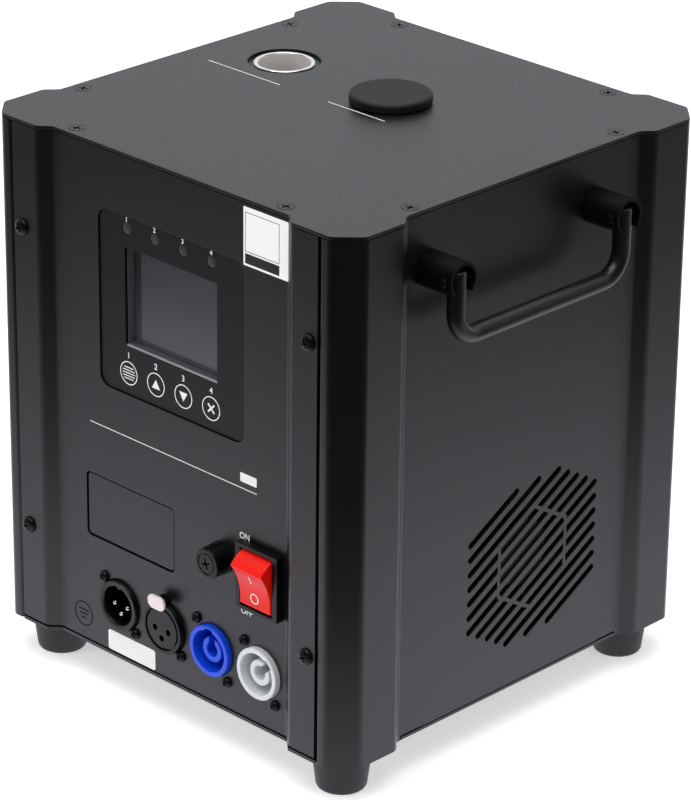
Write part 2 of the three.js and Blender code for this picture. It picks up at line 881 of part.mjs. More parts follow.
// One light guide with a peg behind each of the four holes
function lightGuide() {
  const low = overlayBack + fit;
  const middle = (lightX(0) + lightX(3)) / 2;
  const length = 3 * lightPitch + 4 * lightRadius;
  const bar = block(around(middle, length), [low, low + lightBarThickness], around(lightZ, lightBarHeight));
  const pegs = four.map((i) =>
    rod("y", [lightX(i), lightZ], [overlayFront, low + fit], lightRadius, screwSides),
  );
  return join([bar, ...pegs]);
}

// A key: a flush cap with a flange behind the overlay and a stem to its push button
function panelKey(x) {
  const flange = [overlayBack + fit, overlayBack + fit + keyFlangeThickness];
  const stemEnd = boardFront - buttonHeight - keyTravel - seat;
  const cap = rod("y", [x, keyZ], [overlayFront, flange[0] + fit], keyRadius, innerSides);
  const rim = rod("y", [x, keyZ], flange, keyRadius + keyFlange, smallSides);
  const stem = rod("y", [x, keyZ], [flange[0], stemEnd], keyStemRadius, tinySides);
  return join([cap, rim, stem]);
}

// The control board with its push buttons, lights and stand-offs
function controlBoard() {
  const width = controlWidth + 2 * overlayLap - 2 * fit;
  const height = controlHeight + 2 * overlayLap - 2 * fit;
  const thickness = [boardFront, boardFront + boardThickness];
  const board = block(around(controlX, width), thickness, around(controlZ, height));
  const root = boardFront + boardThickness / 2;
  const buttonRange = [boardFront - buttonHeight, root];
  const buttons = four.map((i) => rod("y", [keyX(i), keyZ], buttonRange, buttonRadius, tinySides));
  const lampRange = [overlayBack + fit + lightBarThickness + fit, root];
  const lamps = four.map((i) => rod("y", [lightX(i), lightZ], lampRange, lightRadius, tinySides));
  const posts = [-1, 1].flatMap((sx) =>
    [-1, 1].map((sz) => {
      const x = controlX + sx * (width / 2 - standoffInset);
      const z = controlZ + sz * (height / 2 - standoffInset);
      return rod("y", [x, z], [overlayBack + seat, root], standoffRadius, tinySides);
    }),
  );
  return join([board, ...buttons, ...lamps, ...posts]);
}

// The cover plate lies behind its opening in the front panel
function coverPlate() {
  const width = coverWidth + 2 * coverLap;
  const height = coverHeight + 2 * coverLap;
  const outline = roundedRectangle([coverX, coverZ], width, height, coverLap);
  return prism("y", outline, [overlayFront, overlayFront + sheet]);
}

// What every socket shares: a round body through the panel and a square flange behind it
function socketBody(index, proud) {
  const place = [socketX(index), socketZ];
  const front = -panelFace - proud;
  const body = rod("y", place, [front, overlayFront + socketDepth], socketRadius, roundSides);
  const outline = roundedRectangle(place, socketFlangeWidth, socketFlangeHeight, socketWall);
  const flange = prism("y", outline, [overlayFront, overlayFront + socketFlangeThickness]);
  const holes = socketScrews(index).map((screw) =>
    rod("y", screw, [-panelFace, 0], socketScrewRadius, tinySides),
  );
  return cut(body.add(flange), holes);
}

// Places of the three contacts of a signal socket
function contactPlaces(index) {
  const [x, z] = [socketX(index), socketZ - contactLift / 2];
  return [
    [x - contactSpacing, z],
    [x + contactSpacing, z],
    [x, z - contactDrop],
  ];
}

// The signal inlet: an open shell with a key rib, and its insert with three pins
function signalInlet() {
  const front = -panelFace - signalInProud;
  const bottom = overlayFront + socketDepth - insertThickness;
  const bore = rod("y", [socketX(0), socketZ], [front - overrun, bottom], signalInBore, roundSides);
  const rear = rod(
    "y",
    [socketX(0), socketZ],
    [bottom - overrun, overlayFront + socketDepth + overrun],
    signalInBore - socketWall,
    roundSides,
  );
  return cut(socketBody(0, signalInProud), [bore, rear]);
}

function signalPins() {
  const back = overlayFront + socketDepth;
  const front = back - insertThickness - 2 * fit;
  const place = [socketX(0), socketZ];
  const plug = rod("y", place, [front, back], signalInBore - socketWall - fit, innerSides);
  const pins = contactPlaces(0).map(([x, z]) =>
    rod("y", [x, z], [front - contactLength, back + insertThickness], contactRadius, tinySides),
  );
  return join([plug, ...pins]);
}

// The signal outlet: a proud round face with a ring groove and three contact holes
function signalOutlet() {
  const front = -panelFace - signalOutProud;
  const place = [socketX(1), socketZ];
  const grooveRange = [front - overrun, front + grooveDepth];
  const faceRange = [front - 2 * overrun, front + 2 * grooveDepth];
  const outer = rod("y", place, grooveRange, signalOutFace + signalOutGroove, roundSides);
  const inner = rod("y", place, faceRange, signalOutFace, roundSides);
  const holes = contactPlaces(1).map(([x, z]) =>
    rod("y", [x, z], [front - overrun, front + contactLength], contactRadius + fit, tinySides),
  );
  const latchRoom = block(
    around(socketX(1), latchStemWidth + 2 * fit),
    [-panelFace - latchProud, overlayFront + socketDepth + overrun],
    [socketZ + latchLift - latchStemHeight / 2 - fit, socketZ + 2 * socketRadius],
  );
  return cut(socketBody(1, signalOutProud), [outer.subtract(inner), ...holes, latchRoom]);
}

// The push tab of the outlet: an oval pad on a flat stem through the panel
function latchTab() {
  const front = -panelFace - latchProud;
  const place = [socketX(1), socketZ + latchLift];
  const outline = roundedRectangle(place, latchPadWidth, latchPadHeight, latchPadHeight / 2, 4);
  const pad = prism("y", outline, [front, front + latchPadThickness]);
  const stemRange = [front + latchPadThickness - fit, front + latchStemLength];
  const stem = block(
    around(place[0], latchStemWidth),
    stemRange,
    around(place[1], latchStemHeight),
  );
  return pad.add(stem);
}

// A mains socket: a keyed ring round a hollow core that is slotted at a given angle
function powerSocket(index, slotTurn) {
  const place = [socketX(index), socketZ];
  const front = -panelFace - powerProud;
  const bottom = overlayFront + socketDepth - socketWall;
  const coreTop = front + powerCoreSink;
  const coreFloor = bottom - overrun;
  const well = rod("y", place, [front - overrun, bottom], powerBore, roundSides);
  const core = rod("y", place, [coreTop, bottom + overrun / 2], powerCoreRadius, innerSides);
  const coreBore = rod("y", place, [front, coreFloor], powerCoreBore, smallSides);
  const slotOutline = turnedBar(place, slotTurn, [0, 2 * powerCoreRadius], powerSlotWidth);
  const slotCut = prism("y", slotOutline, [front, coreFloor]);
  const keyReach = [powerCoreRadius, powerBore + powerKeyDepth];
  const keyway = prism("y", turnedBar(place, slotTurn, keyReach, powerKeyWidth), [front - overrun, coreFloor]);
  const shell = cut(socketBody(index, powerProud), [well, keyway]);
  return shell.add(cut(core, [coreBore, slotCut]));
}

// A bar's outline that points away from a place at an angle, from one reach to another
function turnedBar([x, z], turn, [from, to], width) {
  const corners = [
    point(from, -width / 2),
    point(to, -width / 2),
    point(to, width / 2),
    point(from, width / 2),
  ];
  return corners.map((corner) => corner.rotateAround(point(0, 0), turn).add(point(x, z)));
}

// The fuse holder's body, which stays in the panel
function fuseHolder() {
  const place = [fuseX, fuseZ];
  const back = fuseBodyDepth - panelFace;
  const flangeFront = -panelFace - seat - fuseFlangeThickness;
  const boreRange = [flangeFront - overrun, back - fuseFlangeThickness];
  const nutRange = [overlayFront, overlayFront + 2 * fuseFlangeThickness];
  const body = rod("y", place, [flangeFront, back], fuseBodyRadius, innerSides);
  const flange = rod("y", place, [flangeFront, -panelFace - seat], fuseFlangeRadius, roundSides);
  const bore = rod("y", place, boreRange, fuseCarrierRadius + fit, smallSides);
  const nut = rod("y", place, nutRange, fuseNutRadius, 6);
  const tail = block(
    around(fuseX, terminalWidth / 2),
    [back - fit, back + terminalLength],
    around(fuseZ, terminalThickness),
  );
  return cut(join([body, flange, nut]), [bore]).add(tail);
}

// The fuse cap with its cross slot and the carrier that grips the fuse
function fuseCap() {
  const place = [fuseX, fuseZ];
  const front = -panelFace - fuseProud;
  const back = -panelFace - seat - fuseFlangeThickness - seat;
  const cap = rod("y", place, [front, back], fuseFrontRadius, roundSides, fuseRootRadius);
  const carrierEnd = back + fuseCarrierLength;
  const carrier = rod("y", place, [back - fit, carrierEnd], fuseCarrierRadius, smallSides);
  const clipRange = [back + fuseCarrierLength / 3, carrierEnd + overrun];
  const clip = rod("y", place, clipRange, fuseLinkRadius + fit, screwSides);
  const groove = [front - overrun, front + fuseRingDepth];
  const ring = rod("y", place, groove, fuseRingRadius, innerSides).subtract(
    rod("y", place, groove.map((y) => 2 * y - front), fuseRingRadius - fuseRingWidth, innerSides),
  );
  const slotRange = [front - overrun, front + fuseSlotDepth];
  const cross = [
    block(around(fuseX, fuseSlotLength), slotRange, around(fuseZ, fuseSlotWidth)),
    block(around(fuseX, fuseSlotWidth), slotRange, around(fuseZ, fuseSlotLength)),
  ];
  return cut(cap.add(carrier), [clip, ring, ...cross]);
}

function fuseLink() {
  const back = -panelFace - seat - fuseFlangeThickness - seat;
  const start = back + fuseCarrierLength / 3 + fit;
  return rod("y", [fuseX, fuseZ], [start, start + fuseLinkLength], fuseLinkRadius, screwSides);
}

// The switch's frame: a tall bezel, a body behind the panel, room for the rocker and two blades
function switchFrame() {
  const outline = roundedRectangle([switchX, switchZ], bezelWidth, bezelHeight, bezelCorner);
  const bezel = prism("y", outline, [-panelFace - bezelProud, -panelFace - seat]);
  const back = switchBodyDepth - panelFace;
  const body = block(
    around(switchX, switchBodyWidth),
    [-panelFace - bezelProud / 2, back],
    around(switchZ, switchBodyHeight),
  );
  const width = rockerWidth + 2 * rockerGap;
  const pivot = [rockerSink - panelFace, switchZ];
  const room = rod("x", pivot, around(switchX, width), rockerEndRadius + rockerGap, wideSides);
  const mouth = block(
    around(switchX, width),
    [-panelFace - bezelProud - overrun, pivot[0]],
    around(switchZ, 2 * (rockerEndRadius + rockerGap)),
  );
  const bearingWidth = width + 2 * (trunnionLength + fit);
  const bearing = rod("x", pivot, around(switchX, bearingWidth), trunnionRadius + fit, smallSides);
  const blades = [-1, 1].map((end) =>
    block(
      around(switchX, terminalWidth),
      [back - fit, back + terminalLength],
      around(switchZ + end * terminalPitch, terminalThickness),
    ),
  );
  return join([cut(bezel.add(body), [room, mouth, bearing]), ...blades]);
}

// The rocker, drawn upright about its pivot: two ends that follow a circle and a hollowed face
function rocker() {
  const width = rockerWidth;
  const height = Math.sqrt(rockerEndRadius ** 2 - rockerHalfLength ** 2);
  const start = Math.atan2(height, rockerHalfLength);
  const finish = -Math.asin(rockerBack / rockerEndRadius);
  const steps = 5;
  const end = Array.from({ length: steps + 1 }, (_, k) => {
    const angle = start + ((finish - start) * k) / steps;
    return point(-rockerEndRadius * Math.sin(angle), rockerEndRadius * Math.cos(angle));
  });
  const other = end.map((corner) => point(corner.x, -corner.y)).reverse();
  const face = new THREE.QuadraticBezierCurve(
    other[other.length - 1],
    point(2 * rockerSag - height, 0),
    end[0],
  ).getPoints(6);
  const outline = [...end, ...other, ...face.slice(1, -1)];
  const body = prism("x", outline, around(0, width));
  const trunnions = rod("x", [0, 0], around(0, width + 2 * trunnionLength), trunnionRadius);
  return body.add(trunnions);
}

// The nozzle: a bright tube that ends flush in the top plate, with a sleeve over the barrel
function nozzle() {
  const top = housingHeight - nozzleDrop;
  const low = nozzleJointZ + fit;
  const sleeveInner = barrelRadius + fit;
  const sleeveOuter = sleeveInner + nozzleSleeveWall;
  return turned([nozzleX, nozzleY], [
    point(barrelBore, low),
    point(sleeveInner, low),
    point(sleeveInner, low - nozzleSleeve),
    point(sleeveOuter, low - nozzleSleeve),
    point(sleeveOuter, low + nozzleSleeveWall),
    point(barrelRadius, low + nozzleSleeveWall),
    point(barrelRadius, top),
    point(barrelBore, top),
  ]);
}

const barrelLow = blowerOutletTop + fit;
const heaterHigh = nozzleJointZ - heaterFromJoint;

// The heated barrel: a flanged tube on the blower's outlet, with a port for the feed tube
function barrel() {
  const place = [nozzleX, nozzleY];
  const tube = rod("z", place, [barrelLow, nozzleJointZ], barrelRadius, innerSides);
  const flange = block(
    around(nozzleX, blowerOutletWidth),
    around(nozzleY, blowerWidth),
    [barrelLow, barrelLow + barrelFlange],
  );
  const bore = rod("z", place, [barrelLow - overrun, nozzleJointZ + overrun], barrelBore, innerSides);
  const portRange = [nozzleX, nozzleX + 2 * barrelRadius];
  const port = rod("x", [nozzleY, feedZ], portRange, feedTubeBore, smallSides);
  return cut(tube.add(flange), [bore, port]);
}

// The heater band: a split ring with two clamping lugs at the split
function heaterBand() {
  const inner = barrelRadius + fit;
  const outer = inner + heaterWall;
  const band = turned([nozzleX, nozzleY], [
    point(inner, heaterLow),
    point(outer, heaterLow),
    point(outer, heaterHigh),
    point(inner, heaterHigh),
  ], innerSides);
  const lugEnd = nozzleY - outer - heaterLug;
  const heights = [heaterLow - overrun, heaterHigh + overrun];
  const gap = block(around(nozzleX, heaterGap), [lugEnd - overrun, nozzleY], heights);
  const lugs = block(
    around(nozzleX, heaterGap + 2 * heaterLug),
    [lugEnd, nozzleY - inner - heaterWall / 2],
    [heaterLow, heaterHigh],
  );
  return cut(band.add(lugs), [gap]);
}

// The heat shield: a collar under the top plate and a tube round the heater
function heatShield() {
  const top = panelTop;
  const inner = shieldRadius - sheet;
  return turned([nozzleX, nozzleY], [
    point(barrelRadius + fit, top - sheet),
    point(inner, top - sheet),
    point(inner, shieldLow),
    point(shieldRadius, shieldLow),
    point(shieldRadius, top - sheet),
    point(shieldRadius + shieldFlange, top - sheet),
    point(shieldRadius + shieldFlange, top),
    point(barrelRadius + fit, top),
  ]);
}

// The blower: a flat scroll on edge that blows up into the barrel
const blowerLeft = nozzleX - blowerOutletWidth / 2;
const blowerX = blowerLeft + blowerRadius;
const blowerRange = around(nozzleY, blowerWidth);
const blowerPlace = [blowerX, blowerZ];

function blowerHousing() {
  const [front, back] = blowerRange;
  const drum = rod("y", blowerPlace, blowerRange, blowerRadius, roundSides);
  const duct = block(
    [blowerLeft, blowerLeft + blowerOutletWidth],
    blowerRange,
    [blowerZ, blowerOutletTop],
  );
  const feet = block(around(blowerX, blowerFootWidth), blowerRange, [flangeLow, blowerZ]);
  const inside = [front + blowerWall, back - blowerWall];
  const drumRoom = rod("y", blowerPlace, inside, blowerRadius - blowerWall, roundSides);
  const ductRoom = block(
    [blowerLeft + blowerWall, blowerLeft + blowerOutletWidth - blowerWall],
    inside,
    [blowerZ, blowerOutletTop + overrun],
  );
  const inletRange = [front - overrun, front + 2 * blowerWall];
  const shaftRange = [back - 2 * blowerWall, back + overrun];
  const inlet = rod("y", blowerPlace, inletRange, blowerInlet, innerSides);
  const shaftHole = rod("y", blowerPlace, shaftRange, blowerShaftRadius + fit, tinySides);
  return cut(join([drum, duct, feet]), [drumRoom, ductRoom, inlet, shaftHole]);
}

// The impeller: a back plate on a hub, with a ring of leaning blades
function impeller() {
  const low = blowerRange[0] + blowerWall + impellerGap;
  const high = blowerRange[1] - blowerWall - impellerGap;
  const plate = rod("y", blowerPlace, [high - impellerPlate, high], impellerRadius, innerSides);
  const hub = rod("y", blowerPlace, [low + impellerPlate, high], impellerHub, screwSides);
  const disc = rod("y", blowerPlace, [low, low + impellerPlate], impellerRadius, innerSides);
  const eye = rod("y", blowerPlace, [low - overrun, low + 2 * overrun], impellerInner, innerSides);
  const [x0, x1] = [impellerInner + fit, impellerRadius - fit];
  const [z0, z1] = around(0, impellerBladeThickness);
  const blade = [point(x0, z0), point(x1, z0), point(x1, z1), point(x0, z1)];
  const middle = point((impellerRadius + impellerInner) / 2, 0);
  const bladeRange = [low + impellerPlate / 2, high - impellerPlate / 2];
  const blades = Array.from({ length: impellerBlades }, (_, k) => {
    const turn = (2 * Math.PI * k) / impellerBlades;
    const outline = blade.map((corner) =>
      corner
        .clone()
        .rotateAround(middle, impellerLean)
        .rotateAround(point(0, 0), turn)
        .add(point(...blowerPlace)),
    );
    return prism("y", outline, bladeRange);
  });
  const shaftRange = [low + impellerPlate + fit, high + overrun];
  const shaftBore = rod("y", blowerPlace, shaftRange, blowerShaftRadius + fit, screwSides);
  return cut(join([plate, hub, disc.subtract(eye), ...blades]), [shaftBore]);
}

function blowerMotor() {
  const back = blowerRange[1];
  const range = [back + fit, back + fit + blowerMotorLength];
  const body = rod("y", blowerPlace, range, blowerMotorRadius, innerSides);
  const shaftEnd = back - blowerWall - impellerGap - 2 * impellerHub;
  const shaft = rod("y", blowerPlace, [shaftEnd, range[0] + fit], blowerShaftRadius, tinySides);
  return body.add(shaft);
}

// The hopper: a box with a funnel, a spout on the feed tube and a filler neck through the top plate
function hopper() {
  const outer = hopperForm(0);
  const inner = hopperForm(hopperWall);
  const collar = block(
    around(fillerX, 2 * (neckRadius + collarMargin)),
    around(fillerY, 2 * (neckRadius + collarMargin)),
    [hopperTop - fit, panelTop],
  );
  const place = [fillerX, fillerY];
  const boreRange = [hopperTop - 2 * hopperWall, housingHeight + overrun];
  const neck = rod("z", place, [hopperTop, housingHeight], neckRadius, roundSides);
  const bore = rod("z", place, boreRange, neckBore, roundSides);
  return cut(join([outer, collar, neck]), [inner, bore]);
}

// The hopper's box and funnel, as a loft between three rectangles, drawn in by a wall
function hopperForm(wall) {
  const [x0, x1] = [fillerX - hopperLeftOfFiller + wall, fillerX + hopperRightOfFiller - wall];
  const [y0, y1] = [fillerY - hopperFrontOfFiller + wall, fillerY + hopperRearOfFiller - wall];
  const spout = feedZ + feedTubeRadius + fit;
  const shoulder = spout + funnelShare * (hopperTop - spout);
  const low = spout - (wall ? overrun : 0);
  const levels = [
    [low, around(fillerX, 2 * (spoutHalfLength - wall)), around(nozzleY, 2 * (spoutHalfWidth - wall))],
    [shoulder, [x0, x1], [y0, y1]],
    [hopperTop - wall, [x0, x1], [y0, y1]],
  ];
  return loft(levels);
}

// A solid through rectangles at rising heights
function loft(levels) {
  const corners = levels.flatMap(([z, [x0, x1], [y0, y1]]) => [x0, y0, z, x1, y0, z, x1, y1, z, x0, y1, z]);
  const faces = [0, 2, 1, 0, 3, 2];
  levels.slice(1).forEach((_, level) => {
    for (let k = 0; k < 4; k += 1) {
      const [a, b] = [level * 4 + k, level * 4 + ((k + 1) % 4)];
      faces.push(a, b, b + 4, a, b + 4, a + 4);
    }
  });
  const last = (levels.length - 1) * 4;
  faces.push(last, last + 1, last + 2, last, last + 2, last + 3);
  const geometry = new THREE.BufferGeometry();
  geometry.setAttribute("position", new THREE.Float32BufferAttribute(corners, 3));
  geometry.setIndex(faces);
  return solid(geometry);
}

// The rubber filler cap, with a plug down into the neck
function fillerCap() {
  const low = housingHeight + seat;
  const plugRadius = neckBore - fit;
  return turned([fillerX, fillerY], [
    point(0, low - plugLength),
    point(plugRadius - fit, low - plugLength),
    point(plugRadius, low - plugLength + 2 * fit),
    point(plugRadius, low),
    point(capRadius, low),
    point(capRadius, low + capHeight - capEdge),
    point(capRadius - capEdge, low + capHeight),
    point(0, low + capHeight),
  ]);
}

// The feed tube from the bracket to the barrel, open on top under the hopper's spout
const feedLeft = nozzleX + barrelRadius + fit;
const feedRight = bracketX - fit;

function feedTube() {
  const place = [nozzleY, feedZ];
  const tube = rod("x", place, [feedLeft, feedRight], feedTubeRadius, innerSides);
  const bore = rod("x", place, [feedLeft - overrun, feedRight + overrun], feedTubeBore, innerSides);
  const mouth = block(
    around(fillerX, 2 * (spoutHalfLength - hopperWall)),
    around(nozzleY, 2 * (spoutHalfWidth - hopperWall)),
    [feedZ, feedZ + 2 * feedTubeRadius],
  );
  return cut(tube, [bore, mouth]);
}

// The feed screw: a core with one flight, twisted along its length, and a shaft for the gear
function feedScrew() {
  const low = feedLeft + fit;
  const high = feedRight - fit;
  const length = high - low;
  const turns = length / screwPitch;
  const lobe = Math.PI / 5;
  const sides = 4;
  const section = Array.from({ length: sides }, (_, k) => {
    const angle = lobe + ((2 * Math.PI - 2 * lobe) * k) / (sides - 1);
    return point(screwCoreRadius * Math.cos(angle), screwCoreRadius * Math.sin(angle));
  });
  const tip = [-1, 1].map((k) => {
    const angle = (k * lobe) / 3;
    return point(screwRadius * Math.cos(angle), screwRadius * Math.sin(angle));
  });
  const steps = Math.round(turns * screwSteps);
  const options = { depth: length, steps, bevelEnabled: false };
  const geometry = new THREE.ExtrudeGeometry(new THREE.Shape([...tip, ...section]), options);
  const places = geometry.getAttribute("position");
  const corner = new THREE.Vector3();
  for (let i = 0; i < places.count; i += 1) {
    corner.fromBufferAttribute(places, i);
    corner.applyAxisAngle(alongZ, (2 * Math.PI * corner.z) / screwPitch);
    places.setXYZ(i, corner.x, corner.y, corner.z);
  }
  const turn = new THREE.Matrix4().makeBasis(alongY, alongZ, alongX).setPosition(low, nozzleY, feedZ);
  const flight = solid(geometry.applyMatrix4(turn));
  const shaftEnd = gearLow + gearWidth + gearGap;
  const shaft = rod("x", [nozzleY, feedZ], [high - fit, shaftEnd], screwCoreRadius - fit, smallSides);
  return flight.add(shaft);
}

// The outline of a spur gear, with straight flanks and some backlash
function gearOutline(teeth, phase) {
  const radius = (gearModule * teeth) / 2;
  const [root, tip] = [radius - gearDedendum, radius + gearAddendum];
  const pitchShares = [-0.31, -0.12, 0.12, 0.31];
  return Array.from({ length: teeth }, (_, k) =>
    pitchShares.map((share, i) => {
      const reach = i === 0 || i === 3 ? root : tip;
      const angle = phase + (2 * Math.PI * (k + share)) / teeth;
      return point(reach * Math.cos(angle), reach * Math.sin(angle));
    }),
  ).flat();
}

function gear([y, z], teeth, phase, bore) {
  const outline = gearOutline(teeth, phase).map((corner) => corner.add(point(y, z)));
  const range = [gearLow, gearLow + gearWidth];
  const wheel = prism("x", outline, range);
  const hole = rod("x", [y, z], [range[0] - overrun, range[1] + overrun], bore, smallSides);
  return cut(wheel, [hole]);
}

const pinionPlace = [nozzleY - gearCentres, feedZ];

function gearMotor() {
  const face = bracketX - fit;
  const joint = face - motorGearboxLength;
  const gearbox = rod("x", pinionPlace, [joint, face], motorRadius, innerSides);
  const can = rod("x", pinionPlace, [face - motorLength, joint + fit], motorCanRadius, innerSides);
  return gearbox.add(can);
}

// The pinion is one piece with the motor's output shaft
function motorPinion() {
  const phase = Math.PI / pinionTeeth;
  const wheel = prism(
    "x",
    gearOutline(pinionTeeth, phase).map((corner) => corner.add(point(...pinionPlace))),
    [gearLow, gearLow + gearWidth],
  );
  const shaft = rod("x", pinionPlace, [bracketX + seat, gearLow + fit], motorShaftRadius, smallSides);
  return wheel.add(shaft);
}

// The bracket that carries the motor and the screw's bearing, folded at its foot
function driveBracket() {
  const gearReach = (gearModule * gearTeeth) / 2;
  const low = pinionPlace[0] - motorRadius - bracketMargin;
  const high = nozzleY + gearReach;
  const back = bracketX + bracketThickness;
  const heights = [flangeLow, feedZ + motorRadius + bracketMargin];
  const plate = block([bracketX, back], [low, high], heights);
  const footPlate = block(
    [bracketX, bracketX + bracketFoot],
    [low, high],
    [flangeLow, flangeLow + bracketThickness],
  );
  const range = [bracketX - overrun, back + overrun];
  const holes = [
    rod("x", [nozzleY, feedZ], range, screwCoreRadius, smallSides),
    rod("x", pinionPlace, range, motorShaftRadius + fit, smallSides),
  ];
  return cut(plate.add(footPlate), holes);
}

// The cooling fan behind the right grille: a square frame with struts, and a seven-bladed rotor
const fanRight = wallFace - sheet - fit;
const fanRange = [fanRight - fanDepth, fanRight];
const fanPlace = [grilleY, grilleZ];

function fanFrame() {
  const outline = roundedRectangle(fanPlace, fanSize, fanSize, fanCorner);
  const boreRange = [fanRange[0] - overrun, fanRange[1] + overrun];
  const bore = rod("x", fanPlace, boreRange, fanBoreRadius, wideSides);
  const strutRange = [fanRange[0], fanRange[0] + fanStrutDepth];
  const reach = fanBoreRadius + fit;
  const struts = [
    block(strutRange, around(grilleY, 2 * reach), around(grilleZ, fanStrutWidth)),
    block(strutRange, around(grilleY, fanStrutWidth), around(grilleZ, 2 * reach)),
  ];
  const mount = rod("x", fanPlace, strutRange, fanHubRadius, innerSides);
  const spindleRange = [fanRange[0], strutRange[1] + fanHubDepth / 2];
  const spindle = rod("x", fanPlace, spindleRange, fanSpindleRadius, tinySides);
  return join([cut(prism("x", outline, fanRange), [bore]), ...struts, mount, spindle]);
}

function fanRotor() {
  const low = fanRange[0] + fanStrutDepth + fit;
  const range = [low, low + fanHubDepth];
  const hub = rod("x", fanPlace, range, fanHubRadius, innerSides);
  const boreRange = [low - overrun, low + fanHubDepth / 2 + 2 * fit];
  const bore = rod("x", fanPlace, boreRange, fanSpindleRadius + fit, tinySides);
  const length = fanBladeRadius - fanHubRadius + fanStrutWidth;
  const blades = Array.from({ length: fanBlades }, (_, k) => {
    const blade = new THREE.BoxGeometry(fanBladeChord, fanBladeThickness, length);
    blade.rotateZ(fanBladeTurn);
    blade.translate(0, 0, fanBladeRadius - length / 2);
    blade.rotateX((2 * Math.PI * k) / fanBlades);
    blade.translate((range[0] + range[1]) / 2, grilleY, grilleZ);
    return solid(blade);
  });
  const envelope = rod("x", fanPlace, range, fanBladeRadius, roundSides);
  return cut(join([hub, ...blades]).intersect(envelope), [bore]);
}

// The power supply: a ventilated box, open at the ends of its slots
function powerSupply() {
  const supplyLeft = supplyFromWall - wallFace;
  const supplyRear = panelFace - supplyFromRear;
  const supplyFront = supplyRear - supplyDepth;
  const body = block(
    [supplyLeft, supplyRight],
    [supplyFront, supplyRear],
    [flangeLow, flangeLow + supplyHeight],
  );
  const room = block(
    [supplyLeft + supplyWall, supplyRight - supplyWall],
    [supplyFront + supplyWall, supplyRear - supplyWall],
    [flangeLow + supplyWall, flangeLow + supplyHeight - supplyWall],
  );
  const slotDepths = [supplyFront + supplySlotMargin, supplyRear - supplySlotMargin];
  const slotHeights = [flangeLow + supplyHeight / 2, flangeLow + supplyHeight + overrun];
  const slots = [];
  const last = supplyRight - supplySlotMargin;
  for (let x = supplyLeft + supplySlotMargin; x < last; x += supplySlotPitch) {
    slots.push(block([x, x + supplySlotWidth], slotDepths, slotHeights));
  }
  return cut(body, [room, ...slots]);
}

// The main board on stand-offs from the rear panel, with its heatsink and capacitors
function mainBoard() {
  const back = panelFace - sheet - mainBoardGap;
  const front = back - boardThickness;
  const mainBoardHigh = housingHeight - mainBoardDrop;
  const width = [mainBoardLeft, mainBoardRight];
  const board = block(width, [front, back], [mainBoardLow, mainBoardHigh]);
  const corners = [
    [mainBoardLeft + standoffInset, mainBoardLow + standoffInset],
    [mainBoardRight - standoffInset, mainBoardLow + standoffInset],
    [mainBoardLeft + standoffInset, mainBoardHigh - standoffInset],
    [mainBoardRight - standoffInset, mainBoardHigh - standoffInset],
  ];
  const posts = corners.map((place) =>
    rod("y", place, [front + fit, panelFace - sheet - seat], standoffRadius, tinySides),
  );
  const middle = (mainBoardLeft + mainBoardRight) / 2;
  const capacitorZ = mainBoardLow + 2 * capacitorRadius;
  const capacitors = [-1, 0, 1].map((k) =>
    rod(
      "y",
      [middle + k * capacitorPitch, capacitorZ],
      [front - capacitorLength, front + fit],
      capacitorRadius,
      smallSides,
    ),
  );
  const heatsinkTop = mainBoardHigh - 2 * standoffInset;
  const fins = [0, 1, 2].map((k) =>
    block(
      [mainBoardLeft + 2 * heatsinkPitch, mainBoardRight - 2 * heatsinkPitch],
      [front - heatsinkHeight, front + fit],
      [heatsinkTop - k * heatsinkPitch - heatsinkThickness, heatsinkTop - k * heatsinkPitch],
    ),
  );
  return join([board, ...posts, ...capacitors, ...fins]);
}

// The top plate with the nozzle hole, the filler hole and eight countersunk screw holes
function topPlate() {
  const range = [housingHeight - sheet, housingHeight];
  const through = [range[0] - overrun, range[1] + overrun];
  const rim = roundCorners(planOutline(), bendRadius, true);
  const plate = prism("z", rim, range);
  const nozzleHole = rod("z", [nozzleX, nozzleY], through, nozzleHoleRadius, wideSides);
  const fillerHole = rod("z", [fillerX, fillerY], through, neckRadius + fit, roundSides);
  const sideX = wallFace - plateScrewInset;
  const frontY = panelFace - plateScrewInset;
  const places = [-1, 1].flatMap((a) =>
    [-1, 1].flatMap((b) => [
      [a * sideX, b * (recessY - plateScrewFromStep)],
      [a * (recessX - plateScrewFromStep), b * frontY],
    ]),
  );
  const sinks = places.map((place) =>
    rod("z", place, range, plateScrewRadius + fit, screwSides, plateSinkRadius),
  );
  return cut(plate, [nozzleHole, fillerHole, ...sinks]);
}

// Outer housing
piece("base_plate", basePlate(), powderCoat());
piece("top_plate", topPlate(), powderCoat());
piece("front_panel", frontPanel(), powderCoat());
const rear = new THREE.Group();
rear.rotation.z = Math.PI;
housing.add(rear);
piece("rear_panel", panel(), powderCoat(), rear);
side("right", 0);
side("left", Math.PI);
const footNames = ["front_left", "front_right", "rear_left", "rear_right"];
footPlaces().forEach((place, i) => piece(`foot_${footNames[i]}`, foot(place), blackRubber()));

// Controls
piece("control_overlay", controlOverlay(), look(0x333336, 0.5, 0.05));
piece("display_window", displayWindow(), look(0x77777f, 0.1, 0));
piece("display_module", displayModule(), look(0x3c3c44, 0.3, 0.1));
piece("control_board", controlBoard(), circuitBoard());
piece("light_guide", lightGuide(), look(0x6a6a6e, 0.4, 0));
const keyNames = ["menu", "up", "down", "stop"];
keyNames.forEach((name, i) => piece(`key_${name}`, panelKey(keyX(i)), look(0x333336, 0.5, 0.05)));
piece("cover_plate", coverPlate(), powderCoat());

// Mains switch, whose rocker rests in its off position
piece("switch_frame", switchFrame(), blackPlastic());
const switchPivot = new THREE.Group();
switchPivot.position.set(switchX, rockerSink - panelFace, switchZ);
switchPivot.rotation.x = -rockerTilt;
housing.add(switchPivot);
piece("switch_rocker", rocker(), look(0xd81510, 0.3, 0), switchPivot);

